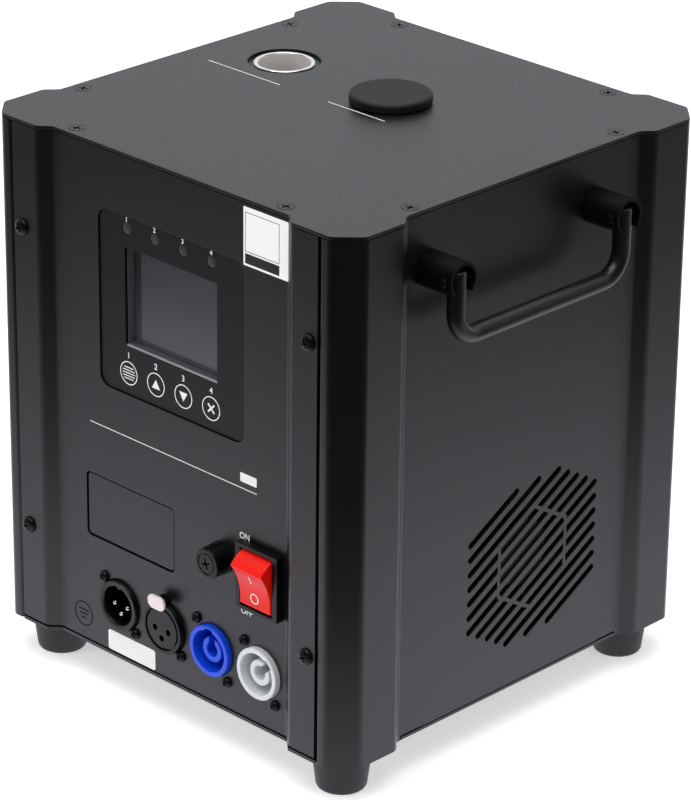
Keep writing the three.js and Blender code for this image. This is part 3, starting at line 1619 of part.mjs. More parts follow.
// Fuse and sockets
piece("fuse_holder", fuseHolder(), blackPlastic());
piece("fuse_cap", fuseCap(), blackPlastic());
piece("fuse_link", fuseLink(), look(0xd8dcdc, 0.2, 0.3));
piece("signal_in_socket", signalInlet(), blackPlastic());
piece("signal_in_pins", signalPins(), bareSteel());
piece("signal_out_socket", signalOutlet(), blackPlastic());
piece("signal_out_latch", latchTab(), bareSteel());
piece("power_in_socket", powerSocket(2, Math.PI / 2), look(0x1b4fd8, 0.35, 0));
piece("power_out_socket", powerSocket(3, Math.PI / 4), look(0xdedfe0, 0.4, 0));

// Spark path
piece("nozzle", nozzle(), bareSteel());
piece("heated_barrel", barrel(), bareSteel());
piece("heater_band", heaterBand(), zincSteel());
piece("heat_shield", heatShield(), zincSteel());
piece("blower_housing", blowerHousing(), blackPlastic());
piece("blower_impeller", impeller(), look(0x2a2a2c, 0.5, 0));
piece("blower_motor", blowerMotor(), zincSteel());

// Granulate feed
piece("hopper", hopper(), zincSteel());
piece("filler_cap", fillerCap(), blackRubber());
piece("feed_tube", feedTube(), bareSteel());
piece("feed_screw", feedScrew(), bareSteel());
piece("feed_gear", gear([nozzleY, feedZ], gearTeeth, Math.PI, gearBore), look(0xd9d3c0, 0.5, 0));
piece("motor_pinion", motorPinion(), zincSteel());
piece("gear_motor", gearMotor(), zincSteel());
piece("drive_bracket", driveBracket(), zincSteel());

// Cooling and electronics
piece("fan_frame", fanFrame(), blackPlastic());
piece("fan_rotor", fanRotor(), blackPlastic());
piece("power_supply", powerSupply(), zincSteel());
piece("main_board", mainBoard(), circuitBoard());

export default machine;
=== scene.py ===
# The visible pieces and finishes of a cold spark machine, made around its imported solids.
import math

import bpy
from bpy.props import FloatProperty, FloatVectorProperty, PointerProperty
from mathutils import Matrix, Vector


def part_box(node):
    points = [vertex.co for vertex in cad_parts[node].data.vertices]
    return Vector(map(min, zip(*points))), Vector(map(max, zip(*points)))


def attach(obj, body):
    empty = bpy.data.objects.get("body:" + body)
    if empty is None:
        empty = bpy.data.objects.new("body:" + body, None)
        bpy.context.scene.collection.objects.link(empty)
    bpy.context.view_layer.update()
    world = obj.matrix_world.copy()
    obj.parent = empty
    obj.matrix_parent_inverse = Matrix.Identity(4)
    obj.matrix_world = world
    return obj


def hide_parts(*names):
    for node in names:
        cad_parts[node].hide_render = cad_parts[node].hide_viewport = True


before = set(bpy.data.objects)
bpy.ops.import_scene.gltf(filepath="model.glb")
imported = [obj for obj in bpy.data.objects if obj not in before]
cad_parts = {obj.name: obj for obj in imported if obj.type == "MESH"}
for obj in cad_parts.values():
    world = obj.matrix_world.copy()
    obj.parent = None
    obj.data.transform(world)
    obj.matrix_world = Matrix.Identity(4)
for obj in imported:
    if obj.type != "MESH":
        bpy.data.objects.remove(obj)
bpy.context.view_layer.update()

bl_info = {
    "name": "Cold Spark Machine",
    "version": (1, 0, 0),
    "blender": (4, 5, 0),
    "location": "View3D > Sidebar > Spark",
    "description": "Models and finishes the visible pieces of a cold spark machine",
    "category": "Object",
}

# Lengths in the calls below are millimetres of the housing: x and y from its middle, z from the
# underside of its base plate. The front faces -y.
MM = 0.001
base_low, base_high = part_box("base_plate")
SHIFT = (base_low.y + base_high.y) / 2
LIFT = base_low.z

# The housing's outline from above, and the heights of its sheets.
HALF = 110.0
WALL = 105.1
PILLAR = 77.3
RECESS = 71.8
CHAMFER = 10.4
PANEL_EDGE = 93.0
SEAM = 93.9
PANEL_LOW = 2.4
PANEL_TOP = 240.0
PLATE_LOW = 240.3
PLATE_TOP = 241.8
GAP = 0.3

# The sheets' flanges, their screws, and the strip under the side walls.
FLANGE_HALF = 66.8
FLANGE_DEPTH = 14
LOW_FLANGE = 1.8
LOW_FLANGE_HALF = 57.2
STRIP_HALF = 69.8
STRIP_HEIGHT = 1.5
SHEET_EDGE = 0.22
LID_SCREW = (99, 63.5)
SEAM_SCREW_X = 87.8
SEAM_SCREW_Z = (49.2, 192.6)
SCREW_HOLE = 1.6

# The control panel.
OVERLAY_FACE = -104.4
OVERLAY_STEP = -103.3
OVERLAY_BACK = -98.8
GLASS_FACE = -99.7
CONTROL = (0.7, 172.2)
WINDOW = (0.2, 176.3)
LIGHT_X = (-26.7, -9.43, 7.84, 25.11)
LIGHT_Z = 207.8
KEY_X = (-26.4, -9.33, 7.74, 24.81)
KEY_Z = 141.0

# What else is set in the front, the lid and the right wall.
COVER = (-26.1, 70.6)
COVER_OPENING = (56.3, 31)
SWITCH = (56.5, 72.0)
ROCKER_PIVOT = -104.2
ROCKER_TILT = math.radians(16.5)
FUSE = (30.9, 73.3)
SOCKET_X = (-33.3, -3.8, 25.7, 55.2)
SOCKET_Z = 27.1
TAB = (SOCKET_X[1], SOCKET_Z + 13.9)
CONTACTS = ((-4.2, -0.6), (4.2, -0.6), (0, -4.8))
NOZZLE = (-64.0, 25.5)
FILLER = (6.0, 21.5)
POST_Y = (-58.4, 43.8)
POST_Z = 215.8
PIVOT_X = 121.1
GRILLE = (11.8, 59.8)
LABEL = (56.2, 227.6)
EARTH = (-57.7, 13.9)

# An outline is drawn flat and pushed up; these turns lay it against the front or the right side.
UPRIGHT = (0, 0, 0)
TO_FRONT = (math.pi / 2, 0, 0)
TO_RIGHT = (math.pi / 2, 0, math.pi / 2)


def linear(code):
    """An sRGB hex colour as linear red, green and blue."""
    parts = [int(code[i : i + 2], 16) / 255 for i in (1, 3, 5)]
    return tuple(c / 12.92 if c <= 0.04045 else ((c + 0.055) / 1.055) ** 2.4 for c in parts)


def length(name, description, millimetres):
    value = millimetres * MM
    return FloatProperty(
        name=name, description=description, default=value, min=0.0, precision=5, unit="LENGTH"
    )


def tint(name, description, code):
    limits = {"min": 0.0, "max": 1.0, "size": 3, "subtype": "COLOR"}
    return FloatVectorProperty(name=name, description=description, default=linear(code), **limits)


def angle(name, description, degrees):
    value = math.radians(degrees)
    return FloatProperty(name=name, description=description, default=value, subtype="ANGLE")


def amount(name, description, value):
    return FloatProperty(name=name, description=description, default=value, min=0.0)


class SparkHousing(bpy.types.PropertyGroup):
    """Sizes of the sheet-steel housing"""

    sheet: length("Sheet", "Thickness of the sheet steel", 1.5)
    bend: length("Bend", "Middle radius of the sheet's bends", 4.0)
    edge: length("Edge", "Rounding of the lid's cut edges", 0.3)
    slot_width: length("Slot width", "Width of the grille's slots", 3.0)
    slot_pitch: length("Slot pitch", "Distance from one slot to the next", 6.05)
    hexagon: length("Hexagon", "Half width of the hexagon left in the grille", 21.3)
    hexagon_line: length("Hexagon line", "Width of the hexagon's line", 1.8)


class SparkHandles(bpy.types.PropertyGroup):
    """Sizes of the fold-down handles"""

    post_radius: length("Post radius", "Outer radius of a tubular post", 8.0)
    post_length: length("Post length", "How far a post stands out", 20.0)
    bar_radius: length("Bar radius", "Radius of the round bar", 4.0)
    bar_bend: length("Bar bend", "Middle radius of the bar's bends", 12.0)


class SparkControls(bpy.types.PropertyGroup):
    """Sizes of the control panel"""

    width: length("Width", "Width of the control panel's opening", 89.4)
    height: length("Height", "Height of the control panel's opening", 82.5)
    corner: length("Corner", "Corner radius of that opening", 5.5)
    window_width: length("Window width", "Width of the display's window", 56.6)
    window_height: length("Window height", "Height of the display's window", 45.3)
    key: length("Key", "Radius of a key", 4.85)
    light: length("Light", "Radius of a signal light", 2.6)
    lip: length("Lip", "Height of the bright lip under the window", 0.4)
    print: length("Print", "Thickness of the printed lines and signs", 0.08)


class SparkFinishes(bpy.types.PropertyGroup):
    """Colours of the finishes"""

    coat: tint("Coat", "Powder coat of the housing", "#0c0d0f")
    overlay: tint("Overlay", "Matt overlay of the control panel", "#0a0b0d")
    rubber: tint("Rubber", "Feet and filler cap", "#121214")
    plastic: tint("Plastic", "Black moulded plastic", "#070708")
    red: tint("Red", "Tinted plastic of the switch rocker", "#ea1605")
    blue: tint("Blue", "Plastic of the power inlet", "#0c48dc")
    white: tint("White", "Plastic of the power outlet", "#d9dcdf")
    steel: tint("Steel", "Bright stainless steel", "#e4e2de")
    lining: tint("Lining", "Dull inner wall of the nozzle", "#c9c4c1")
    zinc: tint("Zinc", "Zinc plating", "#a9abad")
    print: tint("Print", "White screen print", "#e9e9ea")


class SparkStage(bpy.types.PropertyGroup):
    """The camera and the light"""

    azimuth: angle("Azimuth", "Direction that the camera looks from, round the upright axis", 44.171)
    elevation: angle("Elevation", "Angle that the camera looks down by", 24.15)
    roll: angle("Roll", "Turn of the picture about the camera's axis", 0.767)
    lens: amount("Lens", "Focal length for a 36 mm picture, in millimetres", 173.98)
    ceiling: amount("Ceiling", "Power of the softbox over the machine, in watts", 26.0)
    fill: amount("Fill", "Strength of the even light from all round", 0.45)


def settings(name):
    return getattr(bpy.context.scene, f"spark_{name}")


# Making shapes


def at(x, y, z):
    """A place in the housing's millimetres as a place in the frame, in metres."""
    return Vector((x * MM, y * MM + SHIFT, z * MM + LIFT))


def choose(*pieces):
    if bpy.context.mode != "OBJECT":
        bpy.ops.object.mode_set(mode="OBJECT")
    bpy.ops.object.select_all(action="DESELECT")
    for piece in pieces:
        piece.select_set(True)
    if pieces:
        bpy.context.view_layer.objects.active = pieces[0]


def close_up():
    """Merges doubled points of the mesh in edit mode, turns its faces outwards and leaves edit mode."""
    bpy.ops.mesh.select_all(action="SELECT")
    bpy.ops.mesh.remove_doubles(threshold=1e-6)
    bpy.ops.mesh.normals_make_consistent(inside=False)
    bpy.ops.object.mode_set(mode="OBJECT")
    return bpy.context.object


def drawn(points, height):
    """An outline drawn point by point, filled and pushed up by a height."""
    choose()
    bpy.ops.mesh.primitive_plane_add(size=MM)
    bpy.ops.object.mode_set(mode="EDIT")
    bpy.ops.mesh.select_all(action="SELECT")
    bpy.ops.mesh.merge(type="CENTER")
    path = [Vector((x, y, 0)) * MM for x, y in points]
    bpy.ops.transform.translate(value=path[0])
    for here, there in zip(path, path[1:] + path[:1]):
        bpy.ops.mesh.extrude_vertices_move(TRANSFORM_OT_translate={"value": there - here})
    bpy.ops.mesh.select_all(action="SELECT")
    bpy.ops.mesh.remove_doubles(threshold=1e-6)
    bpy.ops.mesh.edge_face_add()
    bpy.ops.mesh.extrude_region_move(TRANSFORM_OT_translate={"value": (0, 0, height * MM)})
    return close_up()


def turned(profile, sides=64, ring=False):
    """A round piece turned from a profile of (radius, height); a ring's profile closes on itself."""
    choose()
    radius, height = profile[0]
    fill = "NOTHING" if ring else "NGON"
    bpy.ops.mesh.primitive_circle_add(vertices=sides, radius=radius * MM, fill_type=fill)
    bpy.ops.object.mode_set(mode="EDIT")
    bpy.ops.mesh.select_all(action="SELECT")
    bpy.ops.transform.translate(value=(0, 0, height * MM))
    for wide, high in list(profile[1:]) + ([profile[0]] if ring else []):
        rise = (0, 0, (high - height) * MM)
        bpy.ops.mesh.extrude_edges_move(TRANSFORM_OT_translate={"value": rise})
        grow = wide / radius
        bpy.ops.transform.resize(value=(grow, grow, 1), center_override=(0, 0, high * MM))
        radius, height = wide, high
    if not ring:
        bpy.ops.mesh.edge_face_add()
    return close_up()


def block(low, high):
    """A block between two corners of the housing."""
    choose()
    near, far = at(*low), at(*high)
    bpy.ops.mesh.primitive_cube_add(size=1, location=(near + far) / 2, scale=far - near)
    return settled(bpy.context.object)


def settled(piece):
    """Keeps a piece's place, turn and scale in its mesh."""
    bpy.ops.object.transform_apply(location=True, rotation=True, scale=True)
    return piece


def placed(piece, place, turn=UPRIGHT):
    """Moves a drawn or turned piece to its place."""
    choose(piece)
    piece.rotation_euler = turn
    piece.location = at(*place)
    return settled(piece)


def lifted(piece, height):
    """Lifts a piece by millimetres while it is still at the frame's middle."""
    choose(piece)
    piece.location = (0, 0, height * MM)
    return settled(piece)


def copied(piece, matrix=None):
    """A copy with its own mesh, moved by a matrix."""
    choose(piece)
    bpy.ops.object.duplicate()
    copy = bpy.context.object
    copy.matrix_world = matrix or Matrix()
    return settled(copy)


def half_turn():
    """The matrix that takes a piece of the right side to the left side."""
    return Matrix.Translation((0, 2 * SHIFT, 0)) @ Matrix.Rotation(math.pi, 4, "Z")


def joined(*pieces):
    choose(*pieces)
    if len(pieces) > 1:
        bpy.ops.object.join()
    return bpy.context.object


def discard(*pieces):
    for piece in pieces:
        bpy.data.objects.remove(piece)


def modified(piece, kind, **values):
    """Adds a modifier with its settings and applies it."""
    modifier = piece.modifiers.new(kind.lower(), kind)
    for key, value in values.items():
        setattr(modifier, key, value)
    choose(piece)
    bpy.ops.object.modifier_apply(modifier=modifier.name)
    return piece


def shaped(piece, operation, tools):
    """Shapes a piece with one tool after another, and removes the tools."""
    for tool in tools:
        modified(piece, "BOOLEAN", operation=operation, solver="EXACT", object=tool)
        discard(tool)
    return piece


def cut(piece, *tools):
    return shaped(piece, "DIFFERENCE", tools)


def united(piece, *others):
    return shaped(piece, "UNION", others)


def softened(piece, width, segments=2, limit=35):
    """Rounds every edge that turns by more than a limit in degrees."""
    values = {"segments": segments, "limit_method": "ANGLE", "use_clamp_overlap": False}
    return modified(piece, "BEVEL", width=width * MM, angle_limit=math.radians(limit), **values)


def dressed(piece, finish):
    """Gives a piece one finish, by its name."""
    piece.data.materials.clear()
    piece.data.materials.append(finishes()[finish])
    return piece


def finished(piece, name, finish=None, body="housing", nodes=(), smooth=40):
    """Dresses and shades a piece, names it and hands it to the body that it moves with."""
    if finish:
        dressed(piece, finish)
    choose(piece)
    bpy.ops.object.shade_smooth_by_angle(angle=math.radians(smooth))
    modified(piece, "WEIGHTED_NORMAL", keep_sharp=True)
    piece.name = name
    piece.data.name = name
    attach(piece, body)
    if nodes:
        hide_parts(*nodes)
    return piece


def front_plate(outline, depth, back):
    """A plate along the front, from the y of its back outwards by a depth."""
    return placed(drawn(outline, depth), (0, back, 0), TO_FRONT)


def rod(radius, ends, place, turn=TO_FRONT, sides=32):
    """A round rod between two heights along its axis, about a place."""
    return placed(turned([(radius, end) for end in ends], sides), place, turn)


def like_packed(node, middle=None):
    """A plate of a packed one's size and depth, at its place or about a middle, and its back's y."""
    near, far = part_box(node)
    size = (far - near) / MM
    if middle is None:
        middle = ((near.x + far.x) / 2 / MM, ((near.z + far.z) / 2 - LIFT) / MM)
    back = (far.y - SHIFT) / MM
    return front_plate(rectangle(middle, size.x, size.z, 1), size.y, back), back


# Outlines


def rounded(points, radius, closed=True, steps=5):
    """A path of (x, y) with its corners turned into arcs, as far as there is room."""
    path = []
    count = len(points)
    for i, corner in enumerate(map(Vector, points)):
        if not closed and i in (0, count - 1):
            path.append(corner)
            continue
        back = Vector(points[i - 1]) - corner
        on = Vector(points[(i + 1) % count]) - corner
        turn = math.pi - back.angle(on)
        reach = min(radius * math.tan(turn / 2), 0.48 * min(back.length, on.length))
        start = corner + back.normalized() * reach
        middle = back.normalized() + on.normalized()
        centre = corner + middle.normalized() * reach / math.sin(turn / 2)
        spin = turn if back.x * on.y - back.y * on.x < 0 else -turn
        for k in range(steps + 1):
            path.append(centre + Matrix.Rotation(spin * k / steps, 2) @ (start - centre))
    return path


def offset(points, distance):
    """An open path moved to its left."""
    moved = []
    for i, corner in enumerate(map(Vector, points)):
        before = corner - Vector(points[i - 1]) if i else None
        after = Vector(points[i + 1]) - corner if i < len(points) - 1 else before
        sides = [Vector((-d.y, d.x)).normalized() for d in (before or after, after)]
        moved.append(corner + (sides[0] + sides[1]) * distance / (1 + sides[0].dot(sides[1])))
    return moved


def bent(path, sheet, bend):
    """The outline of bent sheet whose outer face follows a path, with its inside on the left."""
    middle = rounded(offset(path, sheet / 2), bend, closed=False)
    return offset(middle, -sheet / 2) + offset(middle, sheet / 2)[::-1]


def rectangle(middle, width, height, radius, steps=6):
    x, y = middle
    a, b = width / 2, height / 2
    return rounded([(x - a, y - b), (x + a, y - b), (x + a, y + b), (x - a, y + b)], radius, steps=steps)


def circle(middle, radius, sides=32):
    x, y = middle
    turns = [2 * math.pi * k / sides for k in range(sides)]
    return [(x + radius * math.cos(t), y + radius * math.sin(t)) for t in turns]


def bar_outline(middle, size, turn=0):
    """A rectangle about a middle, turned by an angle."""
    spin = Matrix.Rotation(turn, 2)
    a, b = size[0] / 2, size[1] / 2
    return [spin @ Vector(p) + Vector(middle) for p in ((-a, -b), (a, -b), (a, b), (-a, b))]


def plan():
    """The housing's outline from above: chamfers, pillars, steps and recessed walls."""
    side = [
        (HALF, CHAMFER - HALF),
        (HALF, -PILLAR),
        (WALL, -RECESS),
        (WALL, RECESS),
        (HALF, PILLAR),
        (HALF, HALF - CHAMFER),
    ]
    return [Matrix.Rotation(k * math.pi / 2, 2) @ Vector(p) for k in range(4) for p in side]


# Materials


def add(tree, kind, sockets=None, **values):
    """Adds a node, sets its values, and gives each named socket a value or a link."""
    node = tree.nodes.new(kind)
    for key, value in values.items():
        setattr(node, key, value)
    for key, value in (sockets or {}).items():
        if isinstance(value, bpy.types.NodeSocket):
            tree.links.new(value, node.inputs[key])
        else:
            node.inputs[key].default_value = value
    return node


def ramp(tree, value, first, last, low, high):
    """A value from first to last as a level from low to high"""
    return add(tree, "ShaderNodeMapRange", {0: value, 1: first, 2: last, 3: low, 4: high}).outputs[0]


def maths(tree, operation, first, second, clamp=False):
    sockets = {0: first, 1: second}
    return add(tree, "ShaderNodeMath", sockets, operation=operation, use_clamp=clamp).outputs[0]


def clouded(tree, place, size, detail):
    """Noise whose clouds are about a size in millimetres"""
    sockets = {"Vector": place, "Scale": 1 / (size * MM), "Detail": detail}
    return add(tree, "ShaderNodeTexNoise", sockets).outputs[0]


def between(tree, level, low, high):
    """A colour between two others, by a level"""
    return add(tree, "ShaderNodeMix", {0: level, 6: low, 7: high}, data_type="RGBA").outputs[2]


def shades(colour, spread):
    """A darker and a lighter shade of a colour."""
    return [(*(min(1.0, c * f) for c in colour), 1.0) for f in (1 - spread, 1 + spread)]


def new_finish(name):
    """A new material, its tree, its shader and the place on the object"""
    material = bpy.data.materials.new(f"finish_{name}")
    material.use_nodes = True
    tree = material.node_tree
    place = add(tree, "ShaderNodeTexCoord").outputs["Object"]
    return material, tree, tree.nodes["Principled BSDF"], place


def grained(
    name, colour, roughness, grain, relief, cloud=30.0, spread=0.1, stretch=None, specular=0.5, **fixed
):
    """A finish with fine relief of a grain size and soft clouds of shade, both in millimetres."""
    material, tree, shader, place = new_finish(name)
    clouds = clouded(tree, place, cloud, 4.0)
    if stretch:
        place = add(tree, "ShaderNodeMapping", {"Vector": place, "Scale": stretch}).outputs[0]
    grains = clouded(tree, place, grain, 2.0)
    rough = ramp(tree, grains, 0.3, 0.7, roughness - 0.06, min(1.0, roughness + 0.06))
    bump = add(tree, "ShaderNodeBump", {"Height": grains, "Distance": relief * MM, "Strength": 1.0})
    tree.links.new(between(tree, clouds, *shades(colour, spread)), shader.inputs["Base Color"])
    tree.links.new(rough, shader.inputs["Roughness"])
    tree.links.new(bump.outputs[0], shader.inputs["Normal"])
    shader.inputs["Specular IOR Level"].default_value = specular
    for key, value in fixed.items():
        shader.inputs[key.replace("_", " ").title()].default_value = value
    return material


def display_glass():
    """Glossy glass over an unlit liquid-crystal cell: grey violet, paler towards its lower corner by a
    painted reflection, and darker on its left by painted shade.
    """
    material, tree, shader, place = new_finish("display_glass")
    parts = add(tree, "ShaderNodeSeparateXYZ", {0: place}).outputs
    middle = at(WINDOW[0], 0, WINDOW[1])
    # Painted reflection and painted shade: the glass is made paler towards the bottom and darker towards the
    # left.
    rise = ramp(tree, parts["Z"], middle.z + 0.008, middle.z - 0.02, 0.0, 0.75)
    along = ramp(tree, parts["X"], middle.x - 0.028, middle.x + 0.028, 0.0, 0.35)
    level = maths(tree, "ADD", rise, along, True)
    dark, pale = (*linear("#27272a"), 1.0), (*linear("#434249"), 1.0)
    rough = ramp(tree, clouded(tree, place, 2.0, 3.0), 0.0, 1.0, 0.05, 0.14)
    tree.links.new(between(tree, level, dark, pale), shader.inputs["Base Color"])
    tree.links.new(rough, shader.inputs["Roughness"])
    shader.inputs["Specular IOR Level"].default_value = 0.5
    return material


def finishes():
    """All finishes, made once, by the real material's name."""
    made = [m for m in bpy.data.materials if m.name.startswith("finish_")]
    if not made:
        made = [*new_finishes(settings("finishes")), display_glass()]
    return {m.name.removeprefix("finish_"): m for m in made}


def new_finishes(c):
    """The finishes in their colours: roughness, grain and relief, then the clouds' size and spread"""
    return [
        # Polyester powder coat, cured matt: a soft sheen over a fine orange peel. Its real peel of
        # 0.5 mm is drawn at 0.9 mm so that it shows.
        grained("powder_coat", c.coat, 0.34, 0.9, 0.02, spread=0.14, specular=0.52),
        # The same coat where the plate lies flat under the light, with faint handling clouds.
        grained("plate_coat", c.coat, 0.4, 0.9, 0.02, 45, 0.16),
        # Coat on the small handle parts, dipped thicker, so smoother and softer at the edges.
        grained("handle_coat", c.coat, 0.34, 1.2, 0.015, spread=0.12),
        # Glass-filled nylon of the handle posts: dead matt, the blackest surface of the machine.
        grained("matt_nylon", c.plastic, 0.5, 0.8, 0.015, 8, 0.15, specular=0.08),
        # Polyester overlay film, fine matt: darker and flatter than the coat around it.
        grained("overlay_film", c.overlay, 0.42, 0.5, 0.008, spread=0.06, specular=0.3),
        # Natural rubber, moulded: dull, with a faint bloom in clouds of a few millimetres.
        grained("moulded_rubber", c.rubber, 0.6, 0.6, 0.03, 6, 0.3),
        # Silicone of the filler cap: softer sheen than the feet, and dust sits in its top.
        grained("cap_silicone", c.rubber, 0.56, 0.7, 0.02, 9, 0.25, specular=0.2),
        # Glass-filled nylon, black: even and slightly satin, as sockets and switch frames are.
        grained("black_nylon", c.plastic, 0.36, 0.5, 0.01, 8, 0.15, specular=0.35),
        # Phenolic fuse cap, gloss black.
        grained("black_phenolic", c.plastic, 0.28, 0.7, 0.006, 8, 0.1, specular=0.3),
        # Black-oxide steel of the small screws: dark metal with a glint on its edges.
        grained("black_oxide", linear("#232326"), 0.3, 0.4, 0.01, 3, 0.2, metallic=0.8),
        # Tinted polycarbonate of the rocker: clear colour with a soft gloss.
        grained(
            "red_polycarbonate", c.red, 0.32, 1.0, 0.004, 9, 0.08,
            specular=0.25, coat_weight=0.05, coat_roughness=0.12,
        ),
        # Power socket plastics, moulded polyamide: satin, evenly coloured.
        grained("blue_polyamide", c.blue, 0.34, 0.7, 0.008, 8, 0.06),
        grained("white_polyamide", c.white, 0.36, 0.7, 0.008, 8, 0.03),
        # Turned stainless steel of the nozzle: bright, with fine rings from the lathe along its
        # height, 0.25 mm apart.
        grained("turned_steel", c.steel, 0.2, 0.25, 0.004, 9, 0.04, (0.02, 0.02, 1), metallic=1.0),
        # The nozzle's inner wall, dulled by heat and fine powder: pale and matt, faintly clouded.
        grained("dulled_steel", c.lining, 0.55, 0.8, 0.01, 7, 0.14, metallic=0.25),
        # Nickel-plated contacts: almost a mirror.
        grained("nickel_plate", c.steel, 0.16, 0.5, 0.003, 5, 0.03, metallic=1.0),
        # Satin nickel of the outlet's push tab: pale, with a warm cast and no sharp mirror.
        grained("satin_nickel", linear("#eadfdd"), 0.42, 0.4, 0.004, 5, 0.03, metallic=0.35),
        # Zinc-plated sheet: grey with the spangle of its crystals, 4 mm across.
        grained("zinc_plate", c.zinc, 0.42, 0.8, 0.006, 4, 0.14, metallic=0.9),
        # Smoked acrylic light pipe, a shade lighter than the overlay while it is unlit.
        grained("clear_acrylic", linear("#2e2e31"), 0.35, 1.5, 0.003, 5, 0.08, transmission_weight=0.1),
        # Smoked edge of the window's acrylic frame, and the lip below it, made pale as a painted highlight
        # of the light that it catches.
        grained("frame_acrylic", linear("#4c4c51"), 0.4, 1.0, 0.004, 6, 0.06, specular=0.3),
        # The lip's pale colour is a painted highlight.
        grained("lip_acrylic", linear("#8f8f94"), 0.3, 1.0, 0.004, 6, 0.06),
        # Screen print, matt white, with the faint breaks of its mesh.
        grained("screen_print", c.print, 0.6, 0.25, 0.004, 2, 0.04),
        # Paper label with a satin film, and the dark ink on it.
        grained("label_film", linear("#f1f1f2"), 0.4, 0.6, 0.005, 15, 0.02),
        grained("label_ink", linear("#1b1b1d"), 0.5, 0.6, 0.005, 15, 0.1),
        # Epoxy board under green solder mask.
        grained("circuit_board", linear("#1f5f38"), 0.45, 1.6, 0.03, 5, 0.3),
        # Acetal of the gears, natural white.
        grained("natural_acetal", linear("#d8d4c6"), 0.45, 0.8, 0.01, 6, 0.05),
        # Glass tube of the fuse.
        grained("fuse_glass", linear("#cfd6d6"), 0.08, 1.5, 0.002, 5, 0.05, transmission_weight=0.7),
    ]


# Pieces


def cross_slot(screw, size, turn, low, depth):
    """Cuts two crossing slots into a screw's head."""
    for quarter in (0, 1):
        slot = drawn(bar_outline((0, 0), size, turn + quarter * math.pi / 2), depth)
        cut(screw, lifted(slot, low))
    return screw


def countersunk_screw(turn):
    """A flat cross-slot screw, its head's top at height 0."""
    screw = turned([(1.7, -5), (1.7, -1.7), (3.5, -0.1), (3.35, 0)], 40)
    return softened(cross_slot(screw, (4.2, 0.9), turn, -1.1, 1.6), 0.08)


def pan_screw(radius, turn):
    """A domed cross-slot screw whose head stands on height 0."""
    k = radius / 2.9
    dome = [(2.9, 0), (2.9, 0.6), (2.7, 1.15), (2.2, 1.65), (1.4, 2.0), (0.5, 2.12)]
    screw = turned([(1.5, -5), (1.5, 0), *[(r * k, z) for r, z in dome]], 40)
    return softened(cross_slot(screw, (3.4 * k, 0.75), turn, 0.9, 2.2), 0.07)


class SPARK_OT_top_plate(bpy.types.Operator):
    """Model the top plate with its two holes, its countersinks and its eight screws"""

    bl_idname = "spark.top_plate"
    bl_label = "Top Plate"

    def execute(self, context):
        sizes = settings("housing")
        plate = placed(drawn(rounded(plan(), sizes.bend / MM), sizes.sheet / MM), (0, 0, PLATE_LOW))
        holes = [
            rod(radius, (-2, 4), (*middle, PLATE_LOW), UPRIGHT, 96)
            for radius, middle in ((16.5, NOZZLE), (15.7, FILLER))
        ]
        pairs = (LID_SCREW, LID_SCREW[::-1])
        corners = [(sx * a, sy * b) for a, b in pairs for sx in (-1, 1) for sy in (-1, 1)]
        sink = [(1.9, -1), (1.9, 0), (4.0, 1.5), (4.0, 3)]
        holes += [placed(turned(sink, 40), (x, y, PLATE_LOW)) for x, y in corners]
        softened(cut(plate, joined(*holes)), sizes.edge / MM)
        finished(plate, "plate_top", "plate_coat", nodes=["top_plate"])
        for i, (x, y) in enumerate(corners):
            screw = placed(countersunk_screw(0.5 + 0.7 * i), (x, y, PLATE_TOP - 0.05))
            finished(screw, f"plate_screw_{i + 1}", "black_oxide")
        return {"FINISHED"}


def slot_rows(sizes):
    """Cutters for the grille's slanted slots, row by row, inside a hexagonal outline"""
    along = Vector((math.cos(math.pi / 6), math.sin(math.pi / 6)))
    across = Vector((-along.y, along.x))
    steep = Vector((math.cos(math.pi / 3), math.sin(math.pi / 3)))
    limits = [(Vector((1, 0)), 39.8), (steep, 39.8), (Vector((0, 1)), 37.6)]
    radius = sizes.slot_width / MM / 2
    slots = []
    for row in range(-6, 7):
        start = across * (row * sizes.slot_pitch / MM)
        low = max((-reach - start.dot(n)) / along.dot(n) for n, reach in limits)
        high = min((reach - start.dot(n)) / along.dot(n) for n, reach in limits)
        # The two outermost slots on either side stop short of the outline.
        short = {5: 2.2, 6: 4.6}.get(abs(row), 0)
        low, high = (low, high - short) if row > 0 else (low + short, high)
        ends = [Vector(GRILLE) + start + along * reach for reach in (high, low)]
        outline = []
        for end, turn in zip(ends, (-math.pi / 2, math.pi / 2)):
            for k in range(9):
                outline.append(end + Matrix.Rotation(turn + k * math.pi / 8, 2) @ along * radius)
        slots.append(placed(drawn(outline, 8), (WALL - 5, 0, 0), TO_RIGHT))
    return slots


def grille_slots(sizes):
    """The grille's cutter: its slots, with the hexagon's line left standing"""
    tool = joined(*slot_rows(sizes))
    reach, line = sizes.hexagon / MM, sizes.hexagon_line / MM
    rings = []
    for apothem, depth in ((reach + line / 2, 12), (reach - line / 2, 16)):
        point = Vector((0, apothem / math.cos(math.pi / 6)))
        corners = [Matrix.Rotation(k * math.pi / 3, 2) @ point + Vector(GRILLE) for k in range(6)]
        rings.append(placed(drawn(corners, depth), (WALL - 1 - depth / 2, 0, 0), TO_RIGHT))
    return cut(tool, cut(*rings))


